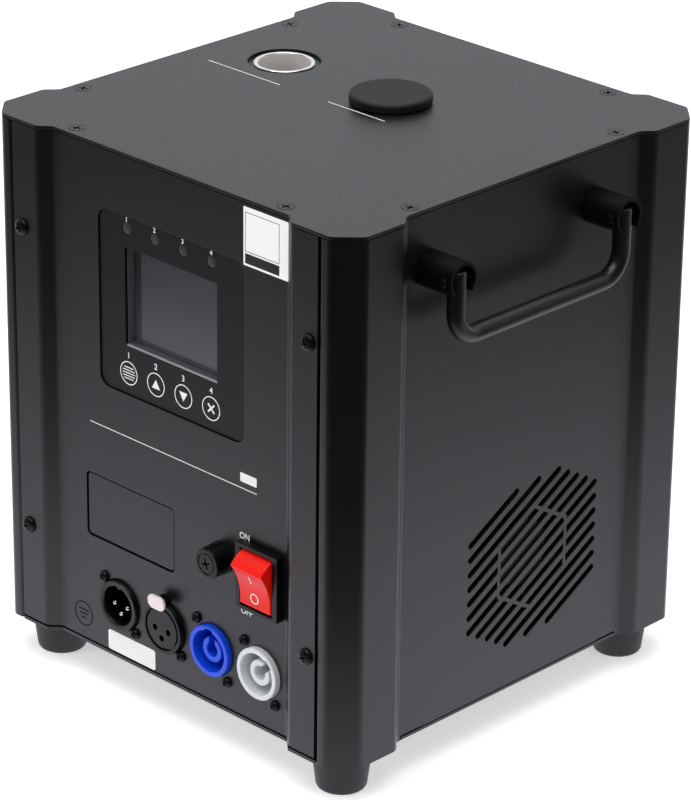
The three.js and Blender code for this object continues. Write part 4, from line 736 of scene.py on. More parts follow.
class SPARK_OT_side_shells(bpy.types.Operator):
    """Model the bent side shells with their returns, flanges, relief slits and grilles"""

    bl_idname = "spark.side_shells"
    bl_label = "Side Shells"

    def execute(self, context):
        sizes = settings("housing")
        sheet = sizes.sheet / MM
        lap = sheet + GAP
        half = [
            (SEAM - 12.9, lap - HALF),
            (SEAM, lap - HALF),
            (SEAM, -HALF),
            (HALF - CHAMFER, -HALF),
            (HALF, CHAMFER - HALF),
            (HALF, -PILLAR),
            (WALL, -RECESS),
        ]
        path = half + [(x, -y) for x, y in half[::-1]]
        shell = placed(drawn(bent(path, sheet, sizes.bend / MM), PANEL_TOP), (0, 0, 0))
        inner = WALL - sheet / 2
        for reach, low in ((FLANGE_HALF, PANEL_TOP - sheet), (LOW_FLANGE_HALF, LOW_FLANGE)):
            united(shell, block((inner - FLANGE_DEPTH, -reach, low), (inner, reach, low + sheet)))
        inside, outside = WALL - 4, WALL + 2
        tools = [
            block((0, sheet - HALF, -2), (SEAM + lap, HALF - sheet, LOW_FLANGE)),
            block((inside, -STRIP_HALF, -2), (outside, STRIP_HALF, STRIP_HEIGHT + 0.5)),
        ]
        for side in (-1, 1):
            near, far = sorted((side * LOW_FLANGE_HALF, side * STRIP_HALF))
            tools.append(block((inside, near, STRIP_HEIGHT), (outside, far, STRIP_HEIGHT + 0.8)))
            lid_screw = (LID_SCREW[0], side * LID_SCREW[1], PANEL_TOP)
            tools.append(rod(SCREW_HOLE, (-4, 4), lid_screw, UPRIGHT, 24))
            for z in SEAM_SCREW_Z:
                seam_screw = (SEAM_SCREW_X, side * (HALF - 2), z)
                tools.append(rod(SCREW_HOLE, (-6, 6), seam_screw, sides=24))
        softened(cut(shell, *tools, grille_slots(sizes)), SHEET_EDGE)
        for side, wall in (("right", shell), ("left", copied(shell, half_turn()))):
            nodes = [f"{side}_side_shell"]
            finished(wall, f"shell_{side}", "powder_coat", nodes=nodes)
        end = STRIP_HALF - 0.4
        strip = softened(block((WALL - lap, -end, 0), (WALL - 0.1, end, STRIP_HEIGHT)), 0.2)
        for side, edge in (("right", strip), ("left", copied(strip, half_turn()))):
            finished(edge, f"base_edge_{side}", "powder_coat")
        return {"FINISHED"}


def bare_panel(sizes):
    """A front or rear panel before its openings, drawn at the front"""
    sheet = sizes.sheet / MM
    half = [(PANEL_EDGE, -HALF), (PILLAR, -HALF), (RECESS, -WALL)]
    path = [(-x, y) for x, y in half] + half[::-1]
    outline = bent(path, sheet, sizes.bend / MM)
    panel = placed(drawn(outline, PANEL_TOP - PANEL_LOW), (0, 0, PANEL_LOW))
    inner = sheet / 2 - WALL
    deep = inner + FLANGE_DEPTH
    for low in (PANEL_TOP - sheet, LOW_FLANGE):
        united(panel, block((-FLANGE_HALF, inner, low), (FLANGE_HALF, deep, low + sheet)))
    for side in (-1, 1):
        lid_screw = (side * LID_SCREW[1], -LID_SCREW[0], PANEL_TOP)
        cut(panel, rod(SCREW_HOLE, (-4, 4), lid_screw, UPRIGHT, 24))
        for z in SEAM_SCREW_Z:
            cut(panel, rod(1.9, (-6, 6), (side * SEAM_SCREW_X, -HALF, z), sides=24))
    return panel


def socket_screws(index):
    """Places of a socket's screws in the panel"""
    dx, dz = (9.9, 10.8) if index < 2 else (9.5, 12.3)
    low = (SOCKET_X[index] + dx, SOCKET_Z - dz)
    high = (SOCKET_X[index] - dx, SOCKET_Z + dz)
    return [low] if index == 1 else [high, low]


class SPARK_OT_panels(bpy.types.Operator):
    """Model the front panel with its openings, the plain rear panel and the blank cover"""

    bl_idname = "spark.panels"
    bl_label = "Front and Rear Panels"

    def execute(self, context):
        control = settings("controls")
        front = bare_panel(settings("housing"))
        rear = copied(front, half_turn())
        wide, high = COVER_OPENING
        outlines = [
            rectangle(CONTROL, control.width / MM, control.height / MM, control.corner / MM, 8),
            rectangle(COVER, wide, high, 2.5),
            rectangle(SWITCH, 23.2, 29.2, 0.4),
            rectangle(TAB, 5.6, 2.8, 0.3),
            circle(FUSE, 6.5, 48),
            *[circle((x, SOCKET_Z), 12.3, 72) for x in SOCKET_X],
            *[circle(place, 1.5, 20) for index in range(4) for place in socket_screws(index)],
        ]
        cut(front, *[front_plate(outline, 8, -100) for outline in outlines])
        for panel, name in ((front, "front"), (rear, "rear")):
            nodes = [f"{name}_panel"]
            softened(panel, SHEET_EDGE)
            finished(panel, f"sheet_{name}", "powder_coat", nodes=nodes)
        cover, back = like_packed("cover_plate", COVER)
        raised = rectangle(COVER, wide - 5 * GAP, high - 5 * GAP, 2.5 - 2 * GAP)
        softened(united(cover, front_plate(raised, back + WALL - 1, back - 0.5)), 0.15)
        finished(cover, "cover_blank", "powder_coat", nodes=["cover_plate"])
        return {"FINISHED"}


class SPARK_OT_feet(bpy.types.Operator):
    """Model the four rubber feet with the screws in their recesses"""

    bl_idname = "spark.feet"
    bl_label = "Feet"

    def execute(self, context):
        recess = [(4.5, -8), (4.5, -18.6), (4.9, -19)]
        outside = [(9.6, -19), (10.6, -18.6), (11.2, -17.5), (13.2, -1.0), (13.5, -0.5), (13.3, -0.1)]
        foot = turned([*recess, *outside, (2.3, -0.1), (2.3, -8)], 96, ring=True)
        screw = turned([(4.0, -8.1), (4.0, -8.8), (3.4, -10), (2, -10.6), (0.5, -10.8)], 40)
        for row, y in (("front", -90), ("rear", 90)):
            for side, x in (("left", -90), ("right", 90)):
                node = f"foot_{row}_{side}"
                copy = placed(copied(foot), (x, y, 0))
                finished(copy, f"rubber_{node}", "moulded_rubber", nodes=[node])
                finished(placed(copied(screw), (x, y, 0)), f"screw_{node}", "black_oxide")
        discard(foot, screw)
        return {"FINISHED"}


def handle_bar(sizes):
    """The bail: a round bar pushed down, bent, pushed along, bent and pushed up, with round ends"""
    radius, bend = sizes.bar_radius, sizes.bar_bend
    top = POST_Z + 3.6
    first, last = at(PIVOT_X, POST_Y[0], top), at(PIVOT_X, POST_Y[1], top)
    low = at(PIVOT_X, 0, POST_Z - 27.4).z
    choose()
    bpy.ops.mesh.primitive_circle_add(vertices=48, radius=radius, location=first, fill_type="NGON")
    settled(bpy.context.object)
    bpy.ops.object.mode_set(mode="EDIT")
    bpy.ops.mesh.select_all(action="SELECT")
    down = Vector((0, 0, low + bend - first.z))
    bpy.ops.mesh.extrude_region_move(TRANSFORM_OT_translate={"value": down})
    turn = {"steps": 14, "angle": -math.pi / 2, "axis": (1, 0, 0)}
    bpy.ops.mesh.spin(center=(first.x, first.y + bend, low + bend), **turn)
    along = Vector((0, last.y - first.y - 2 * bend, 0))
    bpy.ops.mesh.extrude_region_move(TRANSFORM_OT_translate={"value": along})
    bpy.ops.mesh.spin(center=(first.x, last.y - bend, low + bend), **turn)
    bpy.ops.mesh.extrude_region_move(TRANSFORM_OT_translate={"value": -down})
    bar = softened(close_up(), 1.6, 4, 50)
    cut(bar, *[rod(1.8, (-8, 8), (PIVOT_X, y, POST_Z)) for y in POST_Y])
    if max(v.co.z for v in bar.data.vertices) > at(0, 0, top + 0.1).z:
        raise RuntimeError("The bail's bends turned the wrong way")
    return bar


def handle_post(sizes):
    """A slotted tubular post with the hole for its pin, at the wall's middle"""
    radius, reach = sizes.post_radius / MM, sizes.post_length / MM
    tube = [(7.0, 0.1), (radius, 0.1), (radius, reach), (6.4, reach), (6.4, 9.6)]
    post = placed(turned([(0.5, 0.1), *tube, (0.5, 9.6)], 72), (WALL, 0, POST_Z), TO_RIGHT)
    slot = block((WALL + reach - 8.8, -5.2, POST_Z - 16), (WALL + 30, 5.2, POST_Z))
    return softened(cut(post, slot, rod(1.75, (-20, 20), (PIVOT_X, 0, POST_Z))), 0.4)


class SPARK_OT_handles(bpy.types.Operator):
    """Model the fold-down handles: slotted tubular posts, pivot pins and round bails"""

    bl_idname = "spark.handles"
    bl_label = "Fold-down Handles"

    def execute(self, context):
        sizes = settings("handles")
        post = handle_post(sizes)
        head = [(2.0, 8.0), (2.0, 8.2), (1.7, 8.5), (1.1, 8.7), (0.4, 8.75)]
        pin = turned([(1.5, -8.1), (1.5, 8.0), *head], 40)
        placed(pin, (PIVOT_X, 0, POST_Z), TO_FRONT)
        bar = handle_bar(sizes)
        sides = (("right", Matrix(), ("front", "rear")), ("left", half_turn(), ("rear", "front")))
        for side, matrix, ends in sides:
            for end, y in zip(ends, POST_Y):
                spot = matrix @ Matrix.Translation((0, y * MM, 0))
                node = f"{side}_handle_post_{end}"
                finished(copied(post, spot), f"tube_{node}", "matt_nylon", nodes=[node])
                node = f"{side}_handle_pin_{end}"
                finished(copied(pin, spot), f"rivet_{node}", "black_oxide", nodes=[node])
            body = f"{side}_handle"
            copy = copied(bar, matrix)
            finished(copy, f"bar_{body}", "handle_coat", body, [f"{body}_bail"])
        discard(post, pin, bar)
        return {"FINISHED"}


def printed(outline, place, finish="screen_print", height=None):
    """A thin printed shape on a face that looks to the front."""
    thickness = settings("controls").print / MM if height is None else height
    return dressed(placed(drawn(outline, thickness), place, TO_FRONT), finish)


def lettering(text, middle, size, depth):
    """Plain printed letters or digits, centred on a face that looks to the front."""
    choose()
    bpy.ops.object.text_add()
    words = bpy.context.object.data
    words.body = text
    words.size = size * MM
    words.align_x = "CENTER"
    words.align_y = "CENTER"
    words.extrude = settings("controls").print / 2
    words.offset = 0.0155 * size * MM
    bpy.ops.object.convert(target="MESH")
    bpy.ops.object.mode_set(mode="EDIT")
    return dressed(placed(close_up(), (middle[0], depth, middle[1]), TO_FRONT), "screen_print")


def model_overlay(sizes):
    """The overlay: a plate behind the panel's opening and its raised middle, with their holes"""
    width, height = sizes.width / MM, sizes.height / MM
    outline = rectangle(CONTROL, width + 8, height + 8, 4)
    overlay = front_plate(outline, OVERLAY_BACK - OVERLAY_STEP, OVERLAY_BACK)
    raised = rectangle(CONTROL, width - 2 * GAP, height - 2 * GAP, sizes.corner / MM - GAP, 8)
    united(overlay, front_plate(raised, OVERLAY_BACK - OVERLAY_FACE - 1, OVERLAY_BACK - 1))
    holes = [
        rectangle(WINDOW, sizes.window_width / MM, sizes.window_height / MM, 0.6),
        *[circle((x, LIGHT_Z), sizes.light / MM + 0.1, 40) for x in LIGHT_X],
        *[circle((x, KEY_Z), sizes.key / MM + 0.12, 64) for x in KEY_X],
    ]
    cut(overlay, joined(*[front_plate(hole, 12, OVERLAY_BACK + 2) for hole in holes]))
    softened(overlay, 0.12)
    finished(overlay, "overlay_plate", "overlay_film", nodes=["control_overlay"])


def model_window(sizes):
    """The window's smoked frame, the lip at its foot with a painted highlight, and the glass behind it"""
    across, tall = sizes.window_width / MM, sizes.window_height / MM
    edge = front_plate(rectangle(WINDOW, across - 0.1, tall - 0.1, 0.6), 4, OVERLAY_FACE + 5.3)
    cut(edge, front_plate(rectangle(WINDOW, across - 0.8, tall - 0.8, 0.3), 12, -94))
    finished(softened(edge, 0.1), "window_frame", "frame_acrylic")
    sill = WINDOW[1] - tall / 2
    low, high = sill + 0.02, sill + sizes.lip / MM
    near, far = OVERLAY_FACE + 0.05, OVERLAY_FACE + 1.2
    lip = drawn([(near, low), (far, low), (far, high)], across - 0.1)
    placed(lip, (WINDOW[0] - across / 2 + 0.05, 0, 0), TO_RIGHT)
    # The lip is pale by a painted highlight.
    finished(lip, "window_lip", "lip_acrylic")
    glass, back = like_packed("display_window")
    pane = rectangle(WINDOW, across - 4 * GAP, tall - 4 * GAP, 0.6)
    united(glass, front_plate(pane, back - GLASS_FACE - 0.3, back - 0.3))
    softened(glass, 0.15)
    finished(glass, "glass_display", "display_glass", nodes=["display_window"])


def model_lights(sizes):
    """The light pipe: a bar behind the overlay with four pegs, which are the lights"""
    radius = sizes.light / MM
    pipe = front_plate(rectangle((sum(LIGHT_X) / 4, LIGHT_Z), 61.4, 6, 1), 2, -96.5)
    for x in LIGHT_X:
        peg = turned([(radius, 0), (radius, 7.6), (2.1, 7.75), (1.0, 7.8)], 40)
        united(pipe, placed(peg, (x, -96.6, LIGHT_Z), TO_FRONT))
    finished(pipe, "light_pipe", "clear_acrylic", nodes=["light_guide"])


def key_sign(name):
    """Outlines of a key's sign about its middle"""
    if name == "menu":
        heights = (-2.6, -1.3, 0, 1.3, 2.6)
        return [bar_outline((0, z), (2 * math.sqrt(3.9**2 - z * z), 0.42)) for z in heights]
    if name == "stop":
        # Two bars that cross, drawn as one outline so that they don't lie in each other.
        reach, half = 2.7, 0.42
        corner = [Vector((half, half)), Vector((reach, half)), Vector((reach, -half))]
        return [[Matrix.Rotation(math.pi / 4 - k * math.pi / 2, 2) @ p for k in range(4) for p in corner]]
    flip = 1 if name == "up" else -1
    return [[(-2.5 * flip, -1.9 * flip), (2.5 * flip, -1.9 * flip), (0, 2.3 * flip)]]


def model_keys(sizes):
    """The four keys with their signs and the printed rings round them"""
    radius = sizes.key / MM
    stem = [(2, -14.6), (2, -7.6), (5.9, -7.6), (5.9, -6.8)]
    rim = [(5.45, 0), (5.45, 0.08), (5.0, 0.08), (5.0, 0)]
    for name, x in zip(("menu", "up", "down", "stop"), KEY_X):
        place, body = (x, OVERLAY_FACE, KEY_Z), f"{name}_key"
        cap = turned([*stem, (radius, -6.8), (radius, -0.2), (radius - 0.2, -0.02)])
        placed(cap, place, TO_FRONT)
        finished(cap, f"cap_key_{name}", "overlay_film", body, [f"key_{name}"])
        signs = [printed(shape, (x, OVERLAY_FACE + 0.02, KEY_Z)) for shape in key_sign(name)]
        finished(joined(*signs), f"sign_key_{name}", body=body)
        ring = placed(turned(rim, ring=True), place, TO_FRONT)
        finished(ring, f"ring_key_{name}", "screen_print")


class SPARK_OT_controls(bpy.types.Operator):
    """Model the overlay with its window frame, the signal lights and the four keys"""

    bl_idname = "spark.controls"
    bl_label = "Control Panel"

    def execute(self, context):
        sizes = settings("controls")
        model_overlay(sizes)
        model_window(sizes)
        model_lights(sizes)
        model_keys(sizes)
        digits = [
            lettering(str(i + 1), (x, z), size, OVERLAY_FACE)
            for row, z, size in ((LIGHT_X, LIGHT_Z + 3.9, 3.0), (KEY_X, KEY_Z + 8.2, 3.8))
            for i, x in enumerate(row)
        ]
        finished(joined(*digits), "print_digits")
        return {"FINISHED"}


def switch_bezel(x, z):
    """The switch's frame, with the rocker's room open to the front and round behind the pivot"""
    bezel = front_plate(rectangle(SWITCH, 25.5, 31, 1.2), 3.8, -105.2)
    united(bezel, block((x - 11.3, -107, z - 14.3), (x + 11.3, -85.1, z + 14.3)))
    deep, tall = 13.6, 13.5
    round_part = math.asin(tall / deep)
    angles = [round_part * (k / 24 - 1) for k in range(49)]
    arc = [(deep * math.cos(a), deep * math.sin(a)) for a in angles]
    room = drawn([(-8, -tall), *arc, (-8, tall)], 19.2)
    cut(bezel, placed(room, (x - 9.6, ROCKER_PIVOT, z), TO_RIGHT))
    softened(bezel, 0.35)
    for end in (-1, 1):
        blade = block((x - 3.15, -85.5, z + end * 9 - 0.4), (x + 3.15, -76.1, z + end * 9 + 0.4))
        united(bezel, softened(blade, 0.15))
    return bezel


class SPARK_OT_switch(bpy.types.Operator):
    """Model the mains switch: its frame, and the tinted rocker with its two signs"""

    bl_idname = "spark.switch"
    bl_label = "Mains Switch"

    def execute(self, context):
        x, z = SWITCH
        bezel = switch_bezel(x, z)
        finished(bezel, "frame_switch", "black_nylon", nodes=["switch_frame"])
        # Seen from the side, the rocker has two round ends and a hollow face of parabola form.
        reach, half, hollow = 13.2, 10.1, 1.9
        height = math.sqrt(reach**2 - half**2)
        first, last = math.atan2(height, half), -math.asin(4 / reach)
        arc = [first + (last - first) * k / 14 for k in range(15)]
        end = [Vector((-reach * math.sin(a), reach * math.cos(a))) for a in arc]
        other = [Vector((p.x, -p.y)) for p in end[::-1]]
        face = [Vector((hollow * (1 - t * t) - height, half * t)) for t in (k / 10 for k in range(-9, 10))]
        tilt = Matrix.Rotation(ROCKER_TILT, 2)
        rocker = drawn([tilt @ p for p in [*end, *other, *face]], 18.4)
        softened(placed(rocker, (x - 9.2, ROCKER_PIVOT, z), TO_RIGHT), 0.55, 3, 40)
        united(rocker, rod(1.5, (-10, 10), (x, ROCKER_PIVOT, z), TO_RIGHT))
        finished(rocker, "rocker_red", "red_polycarbonate", "rocker", ["switch_rocker"], 50)
        signs = []
        ring = turned([(2.5, 0), (2.5, 0.3), (1.95, 0.3), (1.95, 0)], 48, ring=True)
        stroke = drawn(bar_outline((0, 0), (0.6, 4.4)), 0.3)
        for sign, along in ((ring, -0.56), (stroke, 0.45)):
            spot = tilt @ Vector((hollow * (1 - along * along) - height, half * along))
            slope = ROCKER_TILT + math.atan2(2 * hollow * along, half)
            place = (x, ROCKER_PIVOT + spot.x + 0.06, z + spot.y)
            signs.append(dressed(placed(sign, place, (math.pi / 2 + slope, 0, 0)), "screen_print"))
        finished(joined(*signs), "sign_rocker", body="rocker")
        words = [
            lettering("ON", (x - 10.6, z + 16.6), 4.0, -WALL),
            lettering("OFF", (x - 9.4, z - 18.8), 4.0, -WALL),
        ]
        finished(joined(*words), "print_switch")
        return {"FINISHED"}


class SPARK_OT_fuse(bpy.types.Operator):
    """Model the fuse holder and its screw cap"""

    bl_idname = "spark.fuse"
    bl_label = "Fuse Holder"

    def execute(self, context):
        x, z = FUSE
        place = (x, -WALL, z)
        ring = [(4.3, 1.3), (7.2, 1.3), (7.4, 1.1), (7.4, 0.1), (6.2, 0.1), (6.2, -33), (4.3, -33)]
        holder = placed(turned(ring, ring=True), place, TO_FRONT)
        nut = placed(drawn(circle((0, 0), 9, 6), 2.4), (x, -100.9, z), TO_FRONT)
        cut(nut, rod(5, (-9, 9), (x, -102, z)))
        blade = block((x - 1.6, -73, z - 0.4), (x + 1.6, -62.1, z + 0.4))
        floor = rod(6.2, (-34, -32.8), place, sides=64)
        united(holder, softened(nut, 0.3), floor, softened(blade, 0.1))
        finished(holder, "holder_fuse", "black_phenolic", nodes=["fuse_holder"])
        profile = [(4, -16.6), (4, 1.4), (7.2, 1.4), (7.2, 1.8), (6.95, 7.9), (6.75, 8.35), (6.3, 8.5)]
        cap = placed(turned(profile, 96), place, TO_FRONT)
        groove = turned([(5.0, 7.9), (5.0, 9.5), (4.4, 9.5), (4.4, 7.9)], ring=True)
        tools = [placed(groove, place, TO_FRONT)]
        for turn in (0.35, 0.35 + math.pi / 2):
            slot = drawn(bar_outline((0, 0), (5, 0.9), turn), 3)
            tools.append(placed(slot, (x, -WALL - 7.3, z), TO_FRONT))
        softened(cut(cap, *tools, rod(2.8, (-17.5, -10.6), place, sides=40)), 0.1)
        finished(cap, "cap_fuse", "black_phenolic", "fuse_knob", ["fuse_cap"])
        return {"FINISHED"}


def socket_place(index):
    return (SOCKET_X[index], -WALL, SOCKET_Z)


def socket_shell(index, profile, ring=True):
    """A turned socket shell with the square flange behind the panel that all sockets have"""
    place = socket_place(index)
    shell = placed(turned(profile, 96, ring), place, TO_FRONT)
    flange = front_plate(rectangle((SOCKET_X[index], SOCKET_Z), 26, 31, 2), 2, -101.3)
    holes = [rod(1.5, (-9, 9), (x, -WALL, z), sides=24) for x, z in socket_screws(index)]
    return united(shell, cut(flange, rod(11.5, (-9, 9), place, sides=64), *holes))


def power_socket(index, turn):
    """A mains socket: a keyed ring round a hollow core that is slotted at an angle"""
    x, _, z = socket_place(index)
    rim = [(12, -20.2), (12, 2.0), (11.7, 2.4), (11.4, 2.5), (10.1, 2.5), (9.8, 2.4), (9.6, 2.1)]
    shell = socket_shell(index, [*rim, (9.6, -18.2), (3.2, -18.2), (3.2, -20.2)])
    core = [(3.2, -19), (5.9, -19), (5.9, 0.0), (5.65, 0.3), (3.45, 0.3), (3.2, 0.05)]
    tube = placed(turned(core, 72, ring=True), (x, -WALL, z), TO_FRONT)
    spin = Matrix.Rotation(turn, 2)
    slot = drawn(bar_outline(spin @ Vector((5.9, 0)), (11.8, 3.4), turn), 24)
    cut(tube, placed(slot, (x, -WALL + 18, z), TO_FRONT))
    key = drawn(bar_outline(spin @ Vector((9.6, 0)), (2.2, 4.4), turn), 20)
    cut(shell, placed(key, (x, -WALL + 15, z), TO_FRONT))
    return united(shell, softened(tube, 0.15))


def model_signal_inlet():
    """The three-pole inlet with its rib and its pins"""
    x, y, z = place = socket_place(0)
    rim = [(12, -20.2), (12, 1.4), (11.5, 2.0), (9.9, 2.0), (9.4, 1.7), (9, 1.0), (9, -14.2), (7, -14.2)]
    inlet = socket_shell(0, [*rim, (7, -20.2)])
    rib = block((x - 1.2, y - 0.8, z + 7.8), (x + 1.2, -92, z + 9.5))
    united(inlet, softened(rib, 0.2))
    finished(inlet, "shell_signal_in", "black_nylon", nodes=["signal_in_socket"])
    floor = placed(turned([(6.7, -20.2), (6.7, -13.7), (6.5, -13.5)]), place, TO_FRONT)
    parts = [dressed(floor, "black_nylon")]
    for dx, dz in CONTACTS:
        pin = turned([(1.2, -26), (1.2, -1.0), (0.95, -0.3), (0.5, 0.1), (0.2, 0.15)], 32)
        parts.append(dressed(placed(pin, (x + dx, y, z + dz), TO_FRONT), "nickel_plate"))
    finished(joined(*parts), "pins_signal_in", nodes=["signal_in_pins"])


def model_signal_outlet():
    """The three-pole outlet with its contact holes and its push tab"""
    x, y, z = socket_place(1)
    rim = [(12, -20.2), (12, 2.1), (11.6, 2.6), (10.6, 2.6), (10.4, 2.4), (10.4, 1.4), (9.4, 1.4)]
    outlet = socket_shell(1, [*rim, (9.4, 2.3), (9.2, 2.5), (0.5, 2.6)], ring=False)
    for dx, dz in CONTACTS:
        hole = turned([(1.5, -8.4), (1.5, 3.2), (1.9, 3.6)], 32)
        cut(outlet, placed(hole, (x + dx, y, z + dz), TO_FRONT))
    cut(outlet, block((x - 2.8, -111.1, z + 12.5), (x + 2.8, -80, z + 24)))
    finished(outlet, "shell_signal_out", "black_nylon", nodes=["signal_out_socket"])
    tab = front_plate(rectangle(TAB, 10.6, 6.6, 3.3, 10), 1.4, -109.7)
    dressed(softened(tab, 0.4, 3), "satin_nickel")
    stem = block((x - 2.5, -109.7, z + 12.8), (x + 2.5, -95.1, z + 15))
    dressed(softened(stem, 0.3), "black_nylon")
    whole = joined(tab, stem)
    finished(whole, "tab_signal_out", None, "latch", ["signal_out_latch"])


class SPARK_OT_sockets(bpy.types.Operator):
    """Model the four sockets, the pins of the signal inlet and the push tab of the outlet"""

    bl_idname = "spark.sockets"
    bl_label = "Sockets"

    def execute(self, context):
        model_signal_inlet()
        model_signal_outlet()
        for index, turn, way, colour in ((2, math.pi / 2, "in", "blue"), (3, math.pi / 4, "out", "white")):
            node, slot = f"power_{way}_socket", f"{colour}_plastic"
            socket = power_socket(index, turn)
            finished(socket, f"shell_{node}", f"{colour}_polyamide", nodes=[node])
        return {"FINISHED"}


class SPARK_OT_nozzle(bpy.types.Operator):
    """Model the bright nozzle tube and the rubber cap of the filler"""

    bl_idname = "spark.nozzle"
    bl_label = "Nozzle and Filler Cap"

    def execute(self, context):
        low, step = 200.3, 216
        foot = [(11, low), (13.7, low), (13.7, low - 8), (15.7, low - 8), (15.7, low + 2), (13.9, low + 2)]
        rim = [(13.9, 241.1), (13.7, 241.4), (13.4, 241.5), (12.5, 241.5), (12.2, 241.4), (12, 241.1)]
        middle = (*NOZZLE, 0)
        tube = placed(turned([*foot, *rim, (12, step), (11, step)], 128, ring=True), middle)
        finished(tube, "tube_nozzle", "turned_steel", nodes=["nozzle"])
        inside = [(12, step), (12, 240.9), (11.8, 240.9), (11.6, step)]
        lining = placed(turned(inside, 128, ring=True), middle)
        finished(lining, "lining_nozzle", "dulled_steel")
        collar = turned([(14.1, -1), (14.1, 0), (19, 0), (19, -1)], 128, ring=True)
        placed(collar, (*NOZZLE, PLATE_LOW))
        finished(collar, "collar_nozzle", "plate_coat")
        plug = [(12.6, -8), (13.2, -7.4), (13.2, 0.1), (17.3, 0.1), (18.1, 0.45), (18.4, 1.2)]
        dome = [(18.4, 3.1), (18.1, 3.9), (17.4, 4.35), (16.6, 4.4), (10, 4.32), (0.5, 4.3)]
        cap = placed(turned([*plug, *dome], 128), (*FILLER, PLATE_TOP + 0.1))
        finished(cap, "cap_filler", "cap_silicone", "cap", ["filler_cap"], 50)
        return {"FINISHED"}


class SPARK_OT_screws(bpy.types.Operator):
    """Set the domed screws of the seams and the sockets"""

    bl_idname = "spark.screws"
    bl_label = "Small Screws"

    def execute(self, context):
        seam, small = pan_screw(3.8, 0.4), pan_screw(2.55, 1.0)
        spots = []
        for side in (-1, 1):
            for z in SEAM_SCREW_Z:
                spots.append((seam, (side * SEAM_SCREW_X, -HALF - 0.02, z), TO_FRONT))
                spots.append((seam, (side * SEAM_SCREW_X, HALF + 0.02, z), (math.pi / 2, 0, math.pi)))
        for index in range(4):
            for x, z in socket_screws(index):
                spots.append((small, (x, -WALL - 0.02, z), TO_FRONT))
        for i, (screw, place, turn) in enumerate(spots):
            finished(placed(copied(screw), place, turn), f"domed_screw_{i + 1}", "black_oxide")
        discard(seam, small)
        return {"FINISHED"}


class SPARK_OT_markings(bpy.types.Operator):
    """Lay the plain printed rules, the blank labels and the earth mark"""

    bl_idname = "spark.markings"
    bl_label = "Rules and Blank Labels"

    def execute(self, context):
        face, over_label = (0, -WALL, 0), (0, -WALL - 0.1, 0)
        rules = [
            printed(bar_outline((1.05, 110.9), (104.1, 0.35)), face),
            printed(rectangle((48.15, 116), 9.9, 4.2, 0.5), face),
        ]
        finished(joined(*rules), "rules_front")
        flat = []
        for x0, x1, y in ((-87.9, -42.5, 1.6), (-12.6, 21.7, 1.5)):
            rule = drawn(bar_outline(((x0 + x1) / 2, y), (x1 - x0, 0.4)), 0.08)
            flat.append(dressed(placed(rule, (0, 0, PLATE_TOP)), "screen_print"))
        finished(joined(*flat), "rules_top")
        upper = printed(rectangle((58.3, 225.6), 26.2, 25.8, 0.4), face, "label_film", 0.12)
        finished(upper, "label_upper")
        thin = printed(rectangle(LABEL, 20, 17.4, 0.2), over_label, "label_ink", 0.06)
        cut(thin, front_plate(rectangle(LABEL, 19.5, 16.9, 0.2), 2, -WALL + 1))
        dark = printed(rectangle((LABEL[0], 215.9), 20, 4.4, 0.2), over_label, "label_ink", 0.06)
        finished(joined(thin, dark), "label_upper_lines")
        lower = printed(rectangle((-26, 7.6), 30.6, 9.8, 1.4), face, "label_film", 0.12)
        finished(lower, "label_lower")
        x, z = EARTH
        ring = turned([(6, 0), (6, 0.1), (5.5, 0.1), (5.5, 0)], ring=True)
        earth = [placed(ring, (x, -WALL, z), TO_FRONT)]
        for rise, width in ((2.0, 7.0), (0, 5.0), (-2.0, 3.0)):
            earth.append(printed(bar_outline((x, z + rise), (width, 0.5)), face, height=0.1))
        finished(joined(*earth), "earth_mark", "matt_nylon")
        return {"FINISHED"}


class SPARK_OT_inner_parts(bpy.types.Operator):
    """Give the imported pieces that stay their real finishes"""

    bl_idname = "spark.inner_parts"
    bl_label = "Inner Parts"

    def execute(self, context):
        table = {
            "powder_coat": ["base_plate"],
            "circuit_board": ["control_board", "main_board"],
            "black_nylon": ["display_module", "blower_housing", "blower_impeller", "fan_frame", "fan_rotor"],
            "zinc_plate": [
                "power_supply", "drive_bracket", "heat_shield", "gear_motor", "blower_motor", "heater_band",
            ],
            "turned_steel": ["heated_barrel", "hopper", "feed_tube", "feed_screw", "motor_pinion"],
            "natural_acetal": ["feed_gear"],
            "fuse_glass": ["fuse_link"],
        }
        for name, nodes in table.items():
            for node in nodes:
                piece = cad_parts[node]
                if not piece.material_slots:
                    piece.data.materials.append(None)
                for slot in piece.material_slots:
                    slot.material = finishes()[name]
        return {"FINISHED"}


# The camera, the lamps and the paper

CAMERA_PLACE = (1.10205, -1.12197, 0.83054)
CAMERA_SHIFT = (-0.01587, -0.0028)

# The white paper lies under the machine and rises behind it; the studio on this side of it is dark.
BACKDROP = (-0.697, 0.717, 0.0)


def set_camera(context, values):
    """The camera looks along its azimuth and elevation, with a slight roll."""
    a, e, roll = values.azimuth, values.elevation, values.roll
    right = Vector((math.cos(a), math.sin(a), 0))
    back = Vector((math.sin(a) * math.cos(e), -math.cos(a) * math.cos(e), math.sin(e)))
    up = back.cross(right)
    across = right * math.cos(roll) + up * math.sin(roll)
    rise = up * math.cos(roll) - right * math.sin(roll)
    choose()
    bpy.ops.object.camera_add(location=CAMERA_PLACE)
    camera = context.object
    camera.rotation_euler = Matrix((across, rise, back)).transposed().to_euler()
    camera.data.lens = values.lens
    camera.data.sensor_width = 36
    camera.data.shift_x, camera.data.shift_y = CAMERA_SHIFT
    camera.data.clip_end = 50
    context.scene.camera = camera


